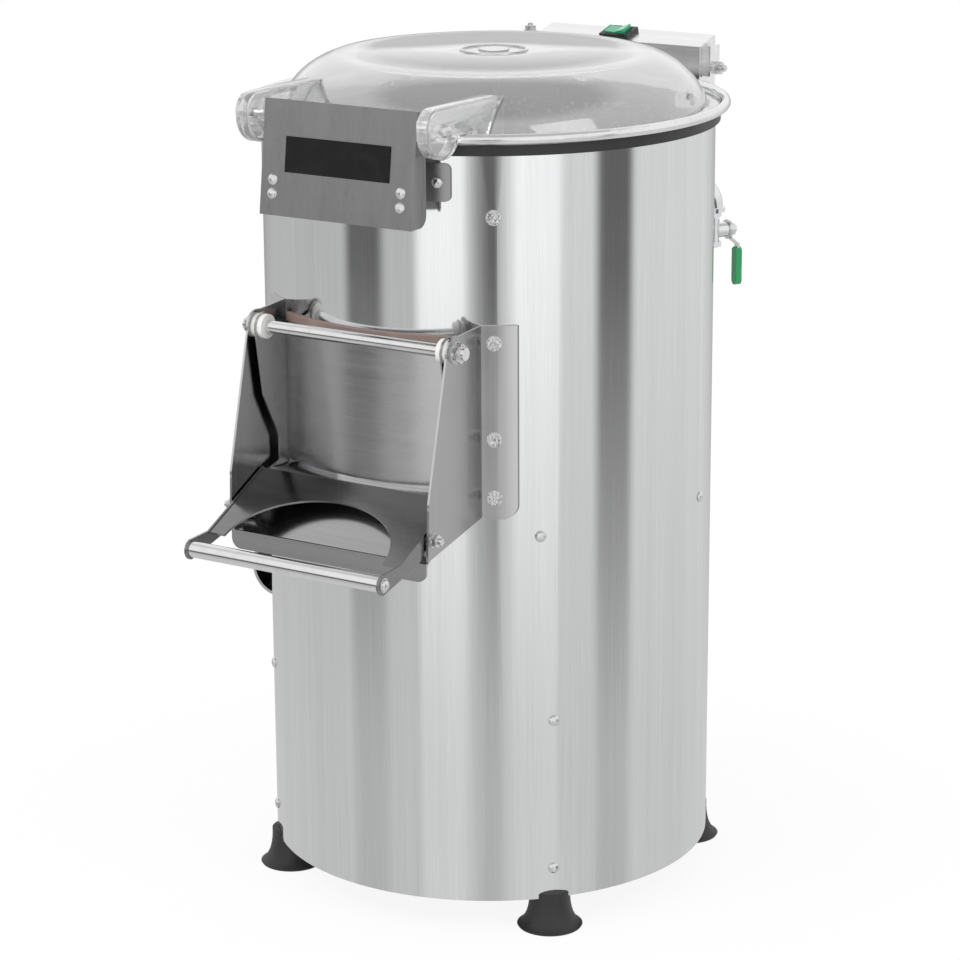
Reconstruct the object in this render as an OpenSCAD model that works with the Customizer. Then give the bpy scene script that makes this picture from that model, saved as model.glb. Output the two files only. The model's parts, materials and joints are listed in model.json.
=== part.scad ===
// Electric potato peeler: upright drum with an abrasive disc, outlet chute and clear lid.
// Millimetres, +Z up, front of the machine towards -Y, origin on the floor in the middle of the footprint.

/* [Body] */
// Outer diameter of the drum body
body_d = 400; // [360:5:460]
// Height of the drum body
body_h = 666; // [640:2:700]
// Thickness of the body sheet
wall = 1.5; // [1:0.1:2]
// Gap between the floor and the body's lower edge
ground_gap = 30; // [28:1:40]
// Radius of the roll round the top rim
rim_roll_r = 4.5; // [4:0.25:5]
// Distance of the rim's outer edge from the body
rim_out = 13; // [12:0.5:16]
// Height of the black band under the rim
rim_band_h = 6; // [5:0.5:10]
// Thickness of the abrasive lining
lining_t = 1.7; // [1:0.1:2]

/* [Feet] */
// Angle of the feet from the front, each side
foot_angle = 48; // [44:1:50]
// Diameter of a foot at the floor
foot_d = 58; // [50:1:64]
// Diameter of a foot's collar
foot_collar_d = 36; // [32:1:40]
// Depth of the body's edge in the collar
foot_grip = 5; // [3:0.5:7]
// Radius of the foot bolts
foot_bolt_r = 4; // [3:0.5:5]

/* [Drive] */
// Height of the chamber floor
floor_z = 372; // [366:1:380]
// Gap between the disc's edge and the lining
disc_side_gap = 8.7; // [7.7:0.5:40.2]
// Thickness of the abrasive disc
disc_t = 7; // [5:0.5:9]
// Radius of the drive shaft
shaft_r = 12.5; // [10:0.5:14]
// Outer radius of the ball bearings
bearing_r = 26; // [22:0.5:30]
// Width of a ball bearing
bearing_w = 15; // [12:1:18]
// Radius of the driven pulley
driven_r = 65; // [55:1:70]
// Radius of the motor pulley
pinion_r = 20; // [18:1:24]
// Distance between the two shafts
centre_d = 108; // [104:1:112]
// Direction of the motor from the front
motor_angle = 145; // [140:1:150]
// Radius of the motor
motor_r = 58; // [50:1:60]
// Height of the motor
motor_h = 145; // [120:1:150]
// Height of the plate that carries the motor
motor_plate_z = 195; // [190:1:205]
// Radius of the motor's shaft
motor_shaft_r = 9.5; // [7:0.5:10]

/* [Outlet and chute] */
// Distance of the outlet's sides from the chute's outer faces
outlet_margin = 18; // [16:0.5:26]
// Lower edge of the outlet
outlet_z0 = 414; // [410:1:425]
// Upper edge of the outlet
outlet_z1 = 528; // [500:1:535]
// Width of the trim's legs on the body
trim_leg = 9.5; // [8:0.5:10]
// Thickness of the trim's legs
trim_t = 2.8; // [2:0.1:2.9]
// Outer half width of the chute
chute_half = 102; // [102:0.5:108]
// Thickness of the chute sheet
chute_t = 2; // [1.5:0.1:2.5]
// Reach of the chute from the body
chute_reach = 58; // [54:1:66]
// Width of the flanges on the body
flange_w = 25; // [20:1:30]
// Height of the tray's down-turned lip
lip_h = 12; // [8:1:16]
// Distance of the single bolts above the chute from the body's upper edge
side_bolt_drop = 58; // [50:1:70]

/* [Door and latch] */
// Distance of the door's pivot rod from the body
rod_out = 13.5; // [12:0.5:16]
// Radius of the pivot rod
rod_r = 5.5; // [5:0.25:6]
// Outer radius of the bush flanges
bush_r = 10.5; // [9:0.5:11]
// Distance of the door's sides from the chute's outer faces
door_margin = 7; // [6.5:0.25:7]
// Thickness of the door sheet
door_t = 1.5; // [1.2:0.1:1.8]
// Height of the lever's pivots
lever_z = 398; // [396:1:402]
// Thickness of the lever sheet
lever_t = 2; // [1.5:0.1:2.2]
// Radius of the tube at the lever's end
tube_r = 7; // [6:0.5:9]
// Distance of the lever's tube from the body
tube_out = 118; // [110:1:130]
// Radius of the latch pins
latch_r = 5; // [4:0.25:5]

/* [Lid and hinge] */
// Height of the lid above the rim
lid_h = 44.5; // [40:0.5:56]
// Distance of the dome's middle from the drum's axis, towards the back
lid_shift = 10; // [0:0.5:10]
// Radius of the lid's flat top
lid_top_r = 142; // [120:1:150]
// Thickness of the lid
lid_t = 3; // [2.5:0.25:4]
// Thickness of the lid's ears
ear_t = 12; // [9:0.5:12]
// Half width of the front bracket
bracket_half = 76; // [70:1:78]
// Height of the front bracket's face
bracket_h = 97; // [80:1:105]
// Thickness of the bracket sheet
bracket_t = 2; // [1.5:0.1:2.5]
// Width of the name plate
plate_w = 104; // [60:1:120]
// Height of the name plate
plate_h = 30; // [20:1:34]
// Radius of the lid's hinge bolts
pivot_r = 3.2; // [2.5:0.1:4]

/* [Control box] */
// Width of the control box
box_w = 176; // [150:1:180]
// Depth of the control box
box_d = 29; // [28:0.5:40]
// Height of the control box at its back
box_h = 100; // [80:1:110]
// Slope of the control box's top
box_slope = 15; // [8:1:16]
// Width of the rocker's bezel
bezel_w = 30; // [26:1:36]
// Depth of the rocker's bezel
bezel_d = 22; // [20:0.5:23]

/* [Water] */
// Direction of the water inlet from the front
water_angle = 146; // [144:1:150]
// Height of the water elbow's leg
water_z = 610; // [600:1:614]
// Outer radius of the water elbow
elbow_r = 15; // [12:0.5:16]
// Outer radius of the valve's body
valve_r = 12; // [11:0.5:14]
// Radius of the brass hose tail
tail_r = 7; // [6:0.5:8]
// Length of the valve's lever
valve_lever_l = 48; // [40:1:54]
// Outer radius of the drain pipe
drain_r = 27.5; // [24:0.5:28]
// Wall of the drain pipe
drain_t = 3; // [2:0.25:4]
// Height of the drain pipe's mouth
drain_z = 240; // [238:1:246]

/* [Hidden] */

$fn = 64;
// Segments of the large rings
ring_fn = 144;
// Segments of small edges
edge_fn = 32;

// Gap between still pieces whose curved faces lie on each other
seat = 0.1;
// Radial gap of a running fit
run = 0.05;
// Gap between pieces that pass each other
pass = 0.5;
// Overrun of a cut past a face
over = 1;
// Length that reaches past the whole machine
far = 600;

body_r = body_d / 2;
inner_r = body_r - wall;
shell_z0 = ground_gap;
shell_z1 = ground_gap + body_h;

// Rim
rim_r = body_r + rim_out;
roll_c = rim_r - rim_roll_r;
shelf_t = 2.5;
shelf_z = shell_z1 + 6;
roll_z = shelf_z + 2.5;
shelf_in = inner_r - 8;
skirt_h = 12;
band_r = body_r + 4.5;
lining_r = inner_r - seat;
lining_in = lining_r - lining_t;
disc_r = lining_in - disc_side_gap;

// Fasteners
screw_r = 2.5;
screw_head_r = 5;
screw_head_h = 3;
washer_t = 1;
nut_h = 5;
stud_out = 1.5;
nut_r = 5.8;
m6_r = 3;

// Feet and legs
foot_r = body_r - 12;
foot_top = ground_gap + foot_grip;
foot_flare_h = 7;
foot_recess_r = 9;
foot_recess_h = 13;
leg_t = 3;
leg_half = 20;
leg_screw_zs = [ground_gap + 28, motor_plate_z];
foot_angles = [-foot_angle, foot_angle, 180 - foot_angle, foot_angle - 180];

// Chamber floor and drive
floor_t = 2;
floor_skirt = 20;
floor_screw_z = floor_z - 10;
floor_screw_angles = [-156.6, -100.6, -44.6, 44.6, 100.6, 156.6];
disc_gap = 2;
disc_z = floor_z + floor_t + disc_gap + 8;
hub_r = 32;
stub_r = shaft_r - 2.5;
stub_top = disc_z + disc_t + 13;
housing_r = bearing_r + 8;
housing_flange_r = housing_r + 20;
housing_flange_t = 8;
housing_h = 85;
housing_z0 = floor_z - housing_h;
bearing_zs = [housing_z0 + 5, floor_z - 10 - bearing_w];
lip_seal_h = 8;
belt_z = motor_plate_z - 25;
belt_half = 3.25;
belt_depth = 5.8;
groove_depth = 9;
pulley_half = 8;
groove_root_half = 3.5;
groove_rim_half = 5.5;
motor_pos = [centre_d * sin(motor_angle), -centre_d * cos(motor_angle)];
motor_plate_t = 3;
motor_plate_r = inner_r - 2 * seat - leg_t + 1;
motor_z0 = motor_plate_z + motor_plate_t;
capacitor_r = 20;
capacitor_h = 80;
capacitor_pos = [-60, 110];

// Drain
drain_in = drain_r - drain_t;
drain_bend = 30;
drain_y = 45;
drain_x = body_r - 20 - drain_bend;
drain_out = body_r + 2;
drain_mouth_y = drain_y - drain_bend - 30;

// Chute: half widths from the middle outwards
cheek_in = chute_half - chute_t;
lever_half = cheek_in - 1.5;
lever_in = lever_half - lever_t;
outlet_half = chute_half - outlet_margin;
door_half = chute_half - door_margin;
door_in = door_half - door_t;
bush_in_half = door_in - 5;
rod_y = -(body_r + rod_out);
rod_z = outlet_z1 + 4;
rod_half = chute_half + washer_t + nut_h + 4;
trim_r0 = body_r + seat;
trim_r1 = trim_r0 + trim_t;
panel_r = trim_r1 + 0.3;
panel_z0 = outlet_z0 - 6;
// Leg of the trim below the outlet, behind the door's edge
trim_low_leg = outlet_z0 - panel_z0 - pass;
panel_z1 = rod_z - 1;
lever_y = -(body_r + 2);
lever_pos = [lever_y, lever_z];
lever_ear_r = 10;
lever_pivot_r = 4;
latch_pos = [-(body_r + 50), lever_z - 18];
tube_pos = [-(body_r + tube_out), lever_z - 39];
chute_z0 = lever_z - 35;
chute_z1 = outlet_z1 + 19;
tray_z = outlet_z0 - trim_leg - 1;
tray_front = -(body_r + chute_reach - chute_t);
tray_wide_y = -(body_r + 38);
tray_half = door_in - 2.5;
tray_drop = tray_z - chute_z0 + 2;
tray_bend = -(body_r + 6);
tray_slope = atan(tray_drop / (tray_bend - tray_front));

// Web of the lever, as points on its upper line
web_back = [-(body_r + 14), lever_z + 8];
web_front = [-(body_r + 94), lever_z - 30];
web_slope = atan((web_back[1] - web_front[1]) / (web_back[0] - web_front[0]));

// Lid and front bracket
pivot_y = -(body_r + 18);
pivot_z = shelf_z + 14.5;
lid_flange_r = roll_c - rim_roll_r - 1;
dome_r = inner_r - 7.5;
// Raised middle of the dome
plateau_r = 104;
plateau_h = 1;
lid_top_z = shelf_z + lid_h;
lid_curve_n = 12;
// Underside of the lid's flange
lid_z = shelf_z + seat;
ear_in = bracket_half + 8;
ear_out = ear_in + ear_t;
ear_low_gap = [pivot_y - edge_y(ear_in, roll_c), pivot_z - roll_z];
ear_reach = norm(ear_low_gap) - rim_roll_r - 2 * pass;
// Wall and rib of the hollow ears
ear_wall = 3;
// Height and depth at which the ears step over the roll
hop_z = roll_z + rim_roll_r + pass;
hop_y = edge_y(ear_out, lid_flange_r - 1.3);
// Direction of the lid's inner boss from the front
lid_boss_angle = 100;
boss_r = 30;
boss_in = 13.5;
boss_h = 1.5;
bracket_top_y = -(body_r + 27);
bracket_tilt = 7.1;
bracket_z1 = pivot_z + 15;
bracket_z0 = bracket_z1 - bracket_h * cos(bracket_tilt);
bracket_low_y = bracket_top_y - bracket_h * sin(bracket_tilt);
bracket_ear_r = 11;
bracket_back_y = -(body_r + 16);
bracket_round = 10;
tab_z0 = bracket_z0 + 16;
tab_z1 = tab_z0 + 32;
tab_w = 22;
tab_round = 5;
arm_x = bracket_half - 18;
face_screw_x = bracket_half - 12;
face_screw_zs = [18, 30];
plate_mid = 52;
plate_t = 1;

// Control box
box_half = box_w / 2;
box_y0 = rim_r + 13;
box_y1 = box_y0 + box_d;
box_z1 = shelf_z + 36;
box_z0 = box_z1 - box_h;
box_front_z1 = box_z1 - box_d * tan(box_slope);
box_t = 1.5;
cover_t = 1.5;
box_top_mid = [(box_y0 + box_y1) / 2, (box_z1 + box_front_z1) / 2];
strap_t = 2;
strap_half = 60;
strap_z0 = box_z0 + 7;
strap_z1 = strap_z0 + 30;
strap_tab_w = 20;
side_tab_h = 28;
side_tab_w = 22;
side_tab_out = 5;
side_screw_x = box_half + side_tab_w - 5;
side_tab_y = box_y0 + 8;
side_bolt_y = box_y0 + 20;
side_bolt_z = box_front_z1 - 21;
bezel_h = 4;
rocker_x = -6;
bezel_rim = 2.5;
rocker_r = 11;
rocker_rest = 8;
gland_r = 8;
gland_x = -50;

// Water line
water_bend = elbow_r + 3;
water_r = body_r + water_bend;
water_z0 = water_z - water_bend;
collar_h = 4;
valve_h = 33;
valve_z0 = water_z0 - collar_h - valve_h;
stem_z = valve_z0 + 14;
stem_r = 5;
stem_start = water_r + valve_r - 3;
stem_end = water_r + valve_r + 9;
lever_hub_t = 2.5;
valve_nut_h = 5;
tail_l = 18;
tail_grip = 7;
lever_drop = 7;
lever_crank = 10;
tail_bore = 4.5;
// Radius of the hose tail's thread in the valve
tail_thread_r = tail_r - 0.5;

// Place of the drum's axis: the box round the machine is centred on the origin
axis_x = (drain_out + drain_bend + drain_r - rim_r) / 2;
axis_y = (body_r + tube_out + tube_r + 2 - box_y1 - cover_t - screw_head_h + 1) / 2;

// Depth of a circle of radius r at the half width x, measured from the axis
function edge_y(x, r = body_r) = -sqrt(r * r - x * x);
// Points of an arc in a plane
function arc(c, r, a0, a1, n = 8) = [
    for (i = [0:n]) let (a = a0 + (a1 - a0) * i / n) c + r * [cos(a), sin(a)]
];
// Point of a quadratic curve at t
function bend(p, q, s, t) = (1 - t) * (1 - t) * p + 2 * t * (1 - t) * q + t * t * s;
// Height of the tray's upper face at y
function tray_at(y) = tray_z - (tray_bend - y) * tan(tray_slope);

// Moves children, drawn round the drum's axis, so that the machine's footprint is centred
module placed() {
    translate([axis_x, axis_y, 0]) children();
}

// Turns children from the front to the angle a, at the radius r
module around(a, r = 0) {
    rotate([0, 0, a]) translate([0, -r, 0]) children();
}

// Children and their mirror image across the middle plane
module both_sides() {
    children();
    mirror([1, 0, 0]) children();
}

// Upright tube
module tube(r_out, r_in, z0, z1, fn = ring_fn) {
    difference() {
        translate([0, 0, z0]) cylinder(r = r_out, h = z1 - z0, $fn = fn);
        translate([0, 0, z0 - over]) cylinder(r = r_in, h = z1 - z0 + 2 * over, $fn = fn);
    }
}

// Cylinder along X between two planes
module rod_x(r, x0, x1, fn = 64) {
    translate([x0, 0, 0]) rotate([0, 90, 0]) cylinder(r = r, h = x1 - x0, $fn = fn);
}

// Sheet in the plane of Y and Z, from its outline, between two planes of X
module sheet_yz(points, x0, x1) {
    translate([x0, 0, 0]) rotate([90, 0, 90]) linear_extrude(x1 - x0) polygon(points);
}

// Dome head that stands on the plane z = 0
module dome_head(r, h) {
    rotate_extrude($fn = edge_fn) polygon(concat(
        [[0, 0], [r, 0]],
        [for (a = [15:15:90]) [r * cos(a), h * sin(a)]]
    ));
}

// Dome screw: head outwards along +Z from the plane z = 0, shank the other way
module dome_screw(shank_l, r = screw_r, head_r = screw_head_r, head_h = screw_head_h) {
    dome_head(head_r, head_h);
    translate([0, 0, -shank_l]) cylinder(r = r, h = shank_l + over / 2, $fn = edge_fn);
}

// Hexagon nut on the plane z = 0
module hex(r, h) {
    cylinder(r = r, h = h, $fn = 6);
}

// Stud with a washer and a hexagon nut on the plane z = 0, shank the other way
module hex_bolt(shank_l, r = m6_r) {
    cylinder(r = r + 3.5, h = washer_t, $fn = edge_fn);
    translate([0, 0, washer_t]) hex(nut_r, nut_h - 1);
    translate([0, 0, -shank_l]) cylinder(r = r, h = shank_l + washer_t + nut_h + stud_out, $fn = edge_fn);
}

// Places children on the body's outside at the angle a and height z, +Z outwards
module on_body(a, z, r = body_r) {
    around(a, r) translate([0, 0, z]) rotate([90, 0, 0]) children();
}

// Hole through the body sheet at an angle and a height
module body_hole(a, z, r) {
    on_body(a, z, inner_r - 10) cylinder(r = r, h = 20, $fn = edge_fn);
}

// Outlet, as a block that cuts the front wall
module outlet_cut(grow = 0) {
    x = outlet_half + grow;
    translate([-x, -body_r - 20, outlet_z0 - grow]) cube([2 * x, 60, outlet_z1 - outlet_z0 + 2 * grow]);
}

// Body -----------------------------------------------------------------------------------

module body_shell() {
    color("#c9ccce") placed() difference() {
        tube(body_r, inner_r, shell_z0, shell_z1);
        outlet_cut();
        for (a = foot_angles, z = leg_screw_zs) body_hole(a, z, screw_r);
        for (a = floor_screw_angles) body_hole(a, floor_screw_z, screw_r);
        for (s = [-1, 1], z = concat(chute_bolt_zs(), [side_bolt_height()]))
            body_hole(s * chute_bolt_angle(), z, m6_r);
        for (s = [-1, 1]) body_hole(s * tab_bolt_angle(), tab_bolt_z(), m6_r);
        for (s = [-1, 1]) body_hole(180 + s * strap_bolt_angle(), strap_bolt_z(), m6_r);
        translate([-body_r, drain_y, drain_z]) rod_x(drain_r + seat, -20, 20);
        body_hole(water_angle, water_z, elbow_r + seat);
    }
}

module rim_ring() {
    color("#dfe2e4") placed() {
        rotate_extrude($fn = ring_fn) translate([roll_c, roll_z])
            circle(r = rim_roll_r, $fn = edge_fn);
        rotate_extrude($fn = ring_fn) polygon([
            [shelf_in, shelf_z], [roll_c - 2, shelf_z], [roll_c - 2, shelf_z - shelf_t],
            [lining_in - 0.5, shelf_z - shelf_t], [lining_in - 0.5, shell_z1 - skirt_h],
            [shelf_in + 4, shell_z1 - skirt_h], [shelf_in + 2, shelf_z - shelf_t - 3],
            [shelf_in, shelf_z - shelf_t]
        ]);
    }
}

// Rubber channel that grips the body's top edge and carries the ring
module rim_seal() {
    color("#1c1c1e") placed() rotate_extrude($fn = ring_fn) polygon([
        [lining_in, shell_z1 - rim_band_h + 3], [lining_in, shelf_z - shelf_t], [band_r, shelf_z - shelf_t],
        [band_r, shell_z1 - rim_band_h], [body_r + seat, shell_z1 - rim_band_h], [body_r + seat, shell_z1],
        [inner_r - seat, shell_z1], [inner_r - seat, shell_z1 - rim_band_h + 3]
    ]);
}

module abrasive_lining() {
    color("#4a4a4c") placed() difference() {
        tube(lining_r, lining_in, floor_z + floor_t, shell_z1 - rim_band_h);
        outlet_cut(trim_leg);
        body_hole(water_angle, water_z, elbow_r + seat);
    }
}

// Feet and legs ----------------------------------------------------------------------------

module rubber_feet() {
    color("#242426") placed() for (a = foot_angles) difference() {
        around(a, foot_r) rotate_extrude($fn = edge_fn) polygon(concat(
            [[foot_recess_r, 0], [foot_d / 2 - 1, 0]],
            [for (t = [0:0.125:1]) bend([foot_d / 2, 1.5], [foot_collar_d / 2 + 1, foot_flare_h],
                [foot_collar_d / 2, foot_top - 7], t)],
            [[foot_collar_d / 2, foot_top - 1], [foot_collar_d / 2 - 1, foot_top], [foot_bolt_r, foot_top],
                [foot_bolt_r, foot_recess_h], [foot_recess_r, foot_recess_h]]
        ));
        tube(body_r + 2 * seat, inner_r - 2 * seat, shell_z0, foot_top + over);
    }
}

module foot_bolts() {
    shank_l = foot_top - foot_recess_h + leg_t + 10;
    z0 = foot_recess_h - washer_t;
    color("#b8babc") placed() for (a = foot_angles) around(a, foot_r) translate([0, 0, z0]) {
        cylinder(r = foot_recess_r - 0.5, h = washer_t, $fn = edge_fn);
        translate([0, 0, -nut_h]) hex(foot_bolt_r + 3, nut_h);
        cylinder(r = foot_bolt_r, h = shank_l, $fn = edge_fn);
    }
}

module foot_nuts() {
    color("#b8babc") placed() for (a = foot_angles) around(a, foot_r) translate([0, 0, foot_top + leg_t])
        difference() {
            union() {
                cylinder(r = foot_bolt_r + 3, h = washer_t, $fn = edge_fn);
                translate([0, 0, washer_t]) hex(foot_bolt_r + 2.8, nut_h);
            }
            translate([0, 0, -over]) cylinder(r = foot_bolt_r, h = nut_h + washer_t + 2 * over, $fn = edge_fn);
        }
}

// Angle brackets that join feet, body and motor plate
module leg_brackets() {
    r = inner_r - seat;
    color("#a9acaf") placed() for (a = foot_angles) difference() {
        intersection() {
            union() {
                tube(r, r - leg_t, foot_top, motor_plate_z + motor_plate_t + 10);
                tube(r, foot_r - 22, foot_top, foot_top + leg_t);
            }
            around(a, r) translate([-leg_half, -20, foot_top]) cube([2 * leg_half, 60, motor_plate_z]);
        }
        for (z = leg_screw_zs) body_hole(a, z, screw_r);
        around(a, foot_r) translate([0, 0, foot_top - over])
            cylinder(r = foot_bolt_r, h = leg_t + 2 * over, $fn = edge_fn);
        motor_plate_slot();
    }
}

// Space of the motor plate's edge in the leg brackets
module motor_plate_slot() {
    translate([0, 0, motor_plate_z - plate_skirt() - over])
        cylinder(r = motor_plate_r + seat, h = plate_skirt() + motor_plate_t + 2 * over, $fn = ring_fn);
}

function plate_skirt() = 8;

module body_screws() {
    color("#c2c4c6") placed() {
        for (a = foot_angles, z = leg_screw_zs) on_body(a, z, body_r + seat) dome_screw(wall + leg_t + 2);
        for (a = floor_screw_angles) on_body(a, floor_screw_z, body_r + seat) dome_screw(wall + floor_t + 2);
    }
}

// Chamber floor and drive --------------------------------------------------------------------

module drum_floor() {
    r = inner_r - seat;
    color("#b9bcbe") placed() difference() {
        union() {
            tube(r, shaft_r + 6, floor_z, floor_z + floor_t);
            tube(r, r - floor_t, floor_z - floor_skirt, floor_z + floor_t);
        }
        for (a = floor_screw_angles) body_hole(a, floor_screw_z, screw_r);
        translate([-drain_x, drain_y, floor_z - over]) cylinder(r = drain_in, h = 2 * over + floor_t);
    }
}

module bearing_housing() {
    color("#8d9093") placed() difference() {
        union() {
            tube(housing_r, bearing_r, housing_z0, floor_z, 96);
            tube(housing_flange_r, bearing_r, floor_z - housing_flange_t, floor_z, 96);
            tube(bearing_r + over, shaft_r + 3, bearing_zs[0] + bearing_w, bearing_zs[1], 96);
        }
        tube(bearing_r, shaft_r + 4, bearing_zs[1] - over, bearing_zs[1], 96);
    }
}

module shaft_bearings() {
    color("#cfd2d4") placed() for (z = bearing_zs) translate([0, 0, z]) rotate_extrude($fn = 96) polygon([
        [shaft_r + run, 0], [shaft_r + 4, 0], [shaft_r + 4.5, 1], [bearing_r - 4.5, 1], [bearing_r - 4, 0],
        [bearing_r, 0], [bearing_r, bearing_w], [bearing_r - 4, bearing_w], [bearing_r - 4.5, bearing_w - 1],
        [shaft_r + 4.5, bearing_w - 1], [shaft_r + 4, bearing_w], [shaft_r + run, bearing_w]
    ]);
}

module shaft_seal() {
    z0 = floor_z - lip_seal_h;
    color("#2b2b2d") placed() rotate_extrude($fn = 96) polygon([
        [shaft_r + run, floor_z - 2], [shaft_r + run, floor_z - 4], [shaft_r + 4, z0], [bearing_r, z0],
        [bearing_r, floor_z], [shaft_r + 7, floor_z], [shaft_r + 5, floor_z - 3]
    ]);
}

module drive_shaft() {
    z0 = belt_z - pulley_half - 8;
    color("#9fa2a5") placed() {
        translate([0, 0, z0]) cylinder(r = shaft_r, h = disc_z - 4 - z0);
        translate([0, 0, disc_z - 5]) cylinder(r = stub_r, h = stub_top - disc_z + 5);
    }
}

// Disc with a hub below and three low waves on top
module abrasive_disc() {
    hub_z0 = disc_z - 4;
    color("#3c3c3e") placed() difference() {
        union() {
            translate([0, 0, disc_z]) cylinder(r = disc_r, h = disc_t, $fn = ring_fn);
            translate([0, 0, hub_z0]) cylinder(r = hub_r, h = disc_z - hub_z0 + over);
            for (a = [0:120:240]) rotate([0, 0, a]) translate([hub_r + 8, 0, disc_z + disc_t])
                rotate([90, 0, 90]) linear_extrude(disc_r - hub_r - 20) wave();
        }
        translate([0, 0, hub_z0 - over]) cylinder(r = stub_r, h = disc_t + 20);
    }
}

// Section of a wave: a flat arc that starts inside the disc
module wave() {
    wave_r = 60;
    wave_h = 6;
    intersection() {
        translate([0, wave_h - wave_r]) circle(r = wave_r);
        translate([-wave_r, -over]) square([2 * wave_r, wave_h + 2 * over]);
    }
}

module disc_nut() {
    z0 = disc_z + disc_t;
    color("#c9ccce") placed() difference() {
        union() {
            translate([0, 0, z0]) cylinder(r = hub_r - 8, h = 3);
            translate([0, 0, z0 + 3]) hex(18, 9);
            translate([0, 0, z0 + 12]) dome_head(14, 12);
        }
        translate([0, 0, z0 - over]) cylinder(r = stub_r, h = stub_top - z0 + over);
    }
}

// Pulley with one V-groove
module pulley(r, bore) {
    translate([0, 0, belt_z]) rotate_extrude($fn = 96) polygon([
        [bore, -pulley_half], [r, -pulley_half], [r, -groove_rim_half], [r - groove_depth, -groove_root_half],
        [r - groove_depth, groove_root_half], [r, groove_rim_half], [r, pulley_half], [bore, pulley_half]
    ]);
}

module driven_pulley() {
    color("#7c7f82") placed() pulley(driven_r, shaft_r);
}

module motor_pulley() {
    color("#7c7f82") placed() translate([motor_pos[0], motor_pos[1], 0]) pulley(pinion_r, motor_shaft_r);
}

// Outline of a belt loop that lies outwards of both groove roots by grow
function belt_points(grow) = let (
    r1 = driven_r - groove_depth + grow,
    r2 = pinion_r - groove_depth + grow,
    a = acos((r1 - r2) / centre_d)
) concat(arc([0, 0], r1, a, 360 - a, 40), arc([centre_d, 0], r2, -a, a, 16));

module drive_belt() {
    root_gap = 1.2;
    color("#1e1e20") placed() rotate([0, 0, motor_angle - 90]) translate([0, 0, belt_z - belt_half])
        linear_extrude(2 * belt_half) difference() {
            polygon(belt_points(root_gap + belt_depth));
            polygon(belt_points(root_gap));
        }
}

module drive_motor() {
    fin_n = 10;
    fin_pitch = (motor_h - 40) / fin_n;
    color("#5f6a72") placed() translate([motor_pos[0], motor_pos[1], 0]) difference() {
        union() {
            translate([0, 0, motor_z0]) cylinder(r = motor_r + 2, h = 8);
            translate([0, 0, motor_z0]) cylinder(r = motor_r - 3, h = motor_h);
            for (i = [0:fin_n - 1]) translate([0, 0, motor_z0 + 16 + i * fin_pitch])
                cylinder(r = motor_r, h = 4);
            translate([0, 0, motor_z0 + motor_h - 18]) cylinder(r = motor_r, h = 14);
        }
        translate([0, 0, motor_z0 - over]) cylinder(r = motor_shaft_r + run, h = 20 + over);
    }
}

module motor_shaft() {
    color("#9fa2a5") placed() translate([motor_pos[0], motor_pos[1], belt_z - pulley_half - 4])
        cylinder(r = motor_shaft_r, h = motor_z0 + 19 - belt_z + pulley_half + 4);
}

module motor_capacitor() {
    color("#d5d6d4") placed() translate([capacitor_pos[0], capacitor_pos[1], motor_z0]) {
        cylinder(r = capacitor_r, h = capacitor_h);
        for (s = [-1, 1]) translate([s * 7, 0, capacitor_h]) cylinder(r = 2, h = 8, $fn = edge_fn);
    }
}

module motor_plate() {
    r = motor_plate_r;
    color("#b4b7b9") placed() difference() {
        union() {
            translate([0, 0, motor_plate_z]) cylinder(r = r, h = motor_plate_t, $fn = ring_fn);
            tube(r, r - 2, motor_plate_z - plate_skirt(), motor_plate_z + motor_plate_t);
        }
        translate([0, 0, motor_plate_z - over]) cylinder(r = shaft_r + 5, h = motor_plate_t + 2 * over);
        translate([motor_pos[0], motor_pos[1], motor_plate_z - over])
            cylinder(r = motor_shaft_r + 5, h = motor_plate_t + 2 * over);
        for (a = foot_angles) body_hole(a, motor_plate_z, screw_r + 1);
    }
}

// Drain and water ---------------------------------------------------------------------------

// Path of the drain: down from the floor, out through the wall, then forwards
module drain_path(r) {
    translate([-drain_x, drain_y, drain_z + drain_bend]) cylinder(r = r, h = floor_z - drain_z - drain_bend);
    translate([-drain_x - drain_bend, drain_y, drain_z + drain_bend]) rotate([90, 90, 0])
        rotate_extrude(angle = 90) translate([drain_bend, 0]) circle(r = r);
    translate([0, drain_y, drain_z]) rod_x(r, -drain_out, -drain_x - drain_bend);
    translate([-drain_out, drain_y - drain_bend, drain_z]) rotate([0, 0, 90])
        rotate_extrude(angle = 90) translate([drain_bend, 0]) circle(r = r);
    translate([-drain_out - drain_bend, drain_y - drain_bend, drain_z]) rotate([90, 0, 0])
        cylinder(r = r, h = drain_y - drain_bend - drain_mouth_y);
}

module drain_elbow() {
    color("#8f9295") placed() difference() {
        drain_path(drain_r);
        drain_path(drain_in);
        translate([-drain_x, drain_y, floor_z - over]) cylinder(r = drain_in, h = 2 * over);
        translate([-drain_out - drain_bend, drain_mouth_y + over, drain_z]) rotate([90, 0, 0])
            cylinder(r = drain_in, h = 2 * over);
    }
}

module drain_seal() {
    color("#202022") placed() translate([0, drain_y, drain_z]) intersection() {
        difference() {
            rod_x(drain_r + 5, -body_r - 6, -body_r + 20);
            rod_x(drain_r + seat, -body_r - 10, -body_r + 40);
        }
        translate([0, -drain_y, -drain_z]) tube(body_r + 2.5, body_r + seat, drain_z - 40, drain_z + 40);
    }
}

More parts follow.
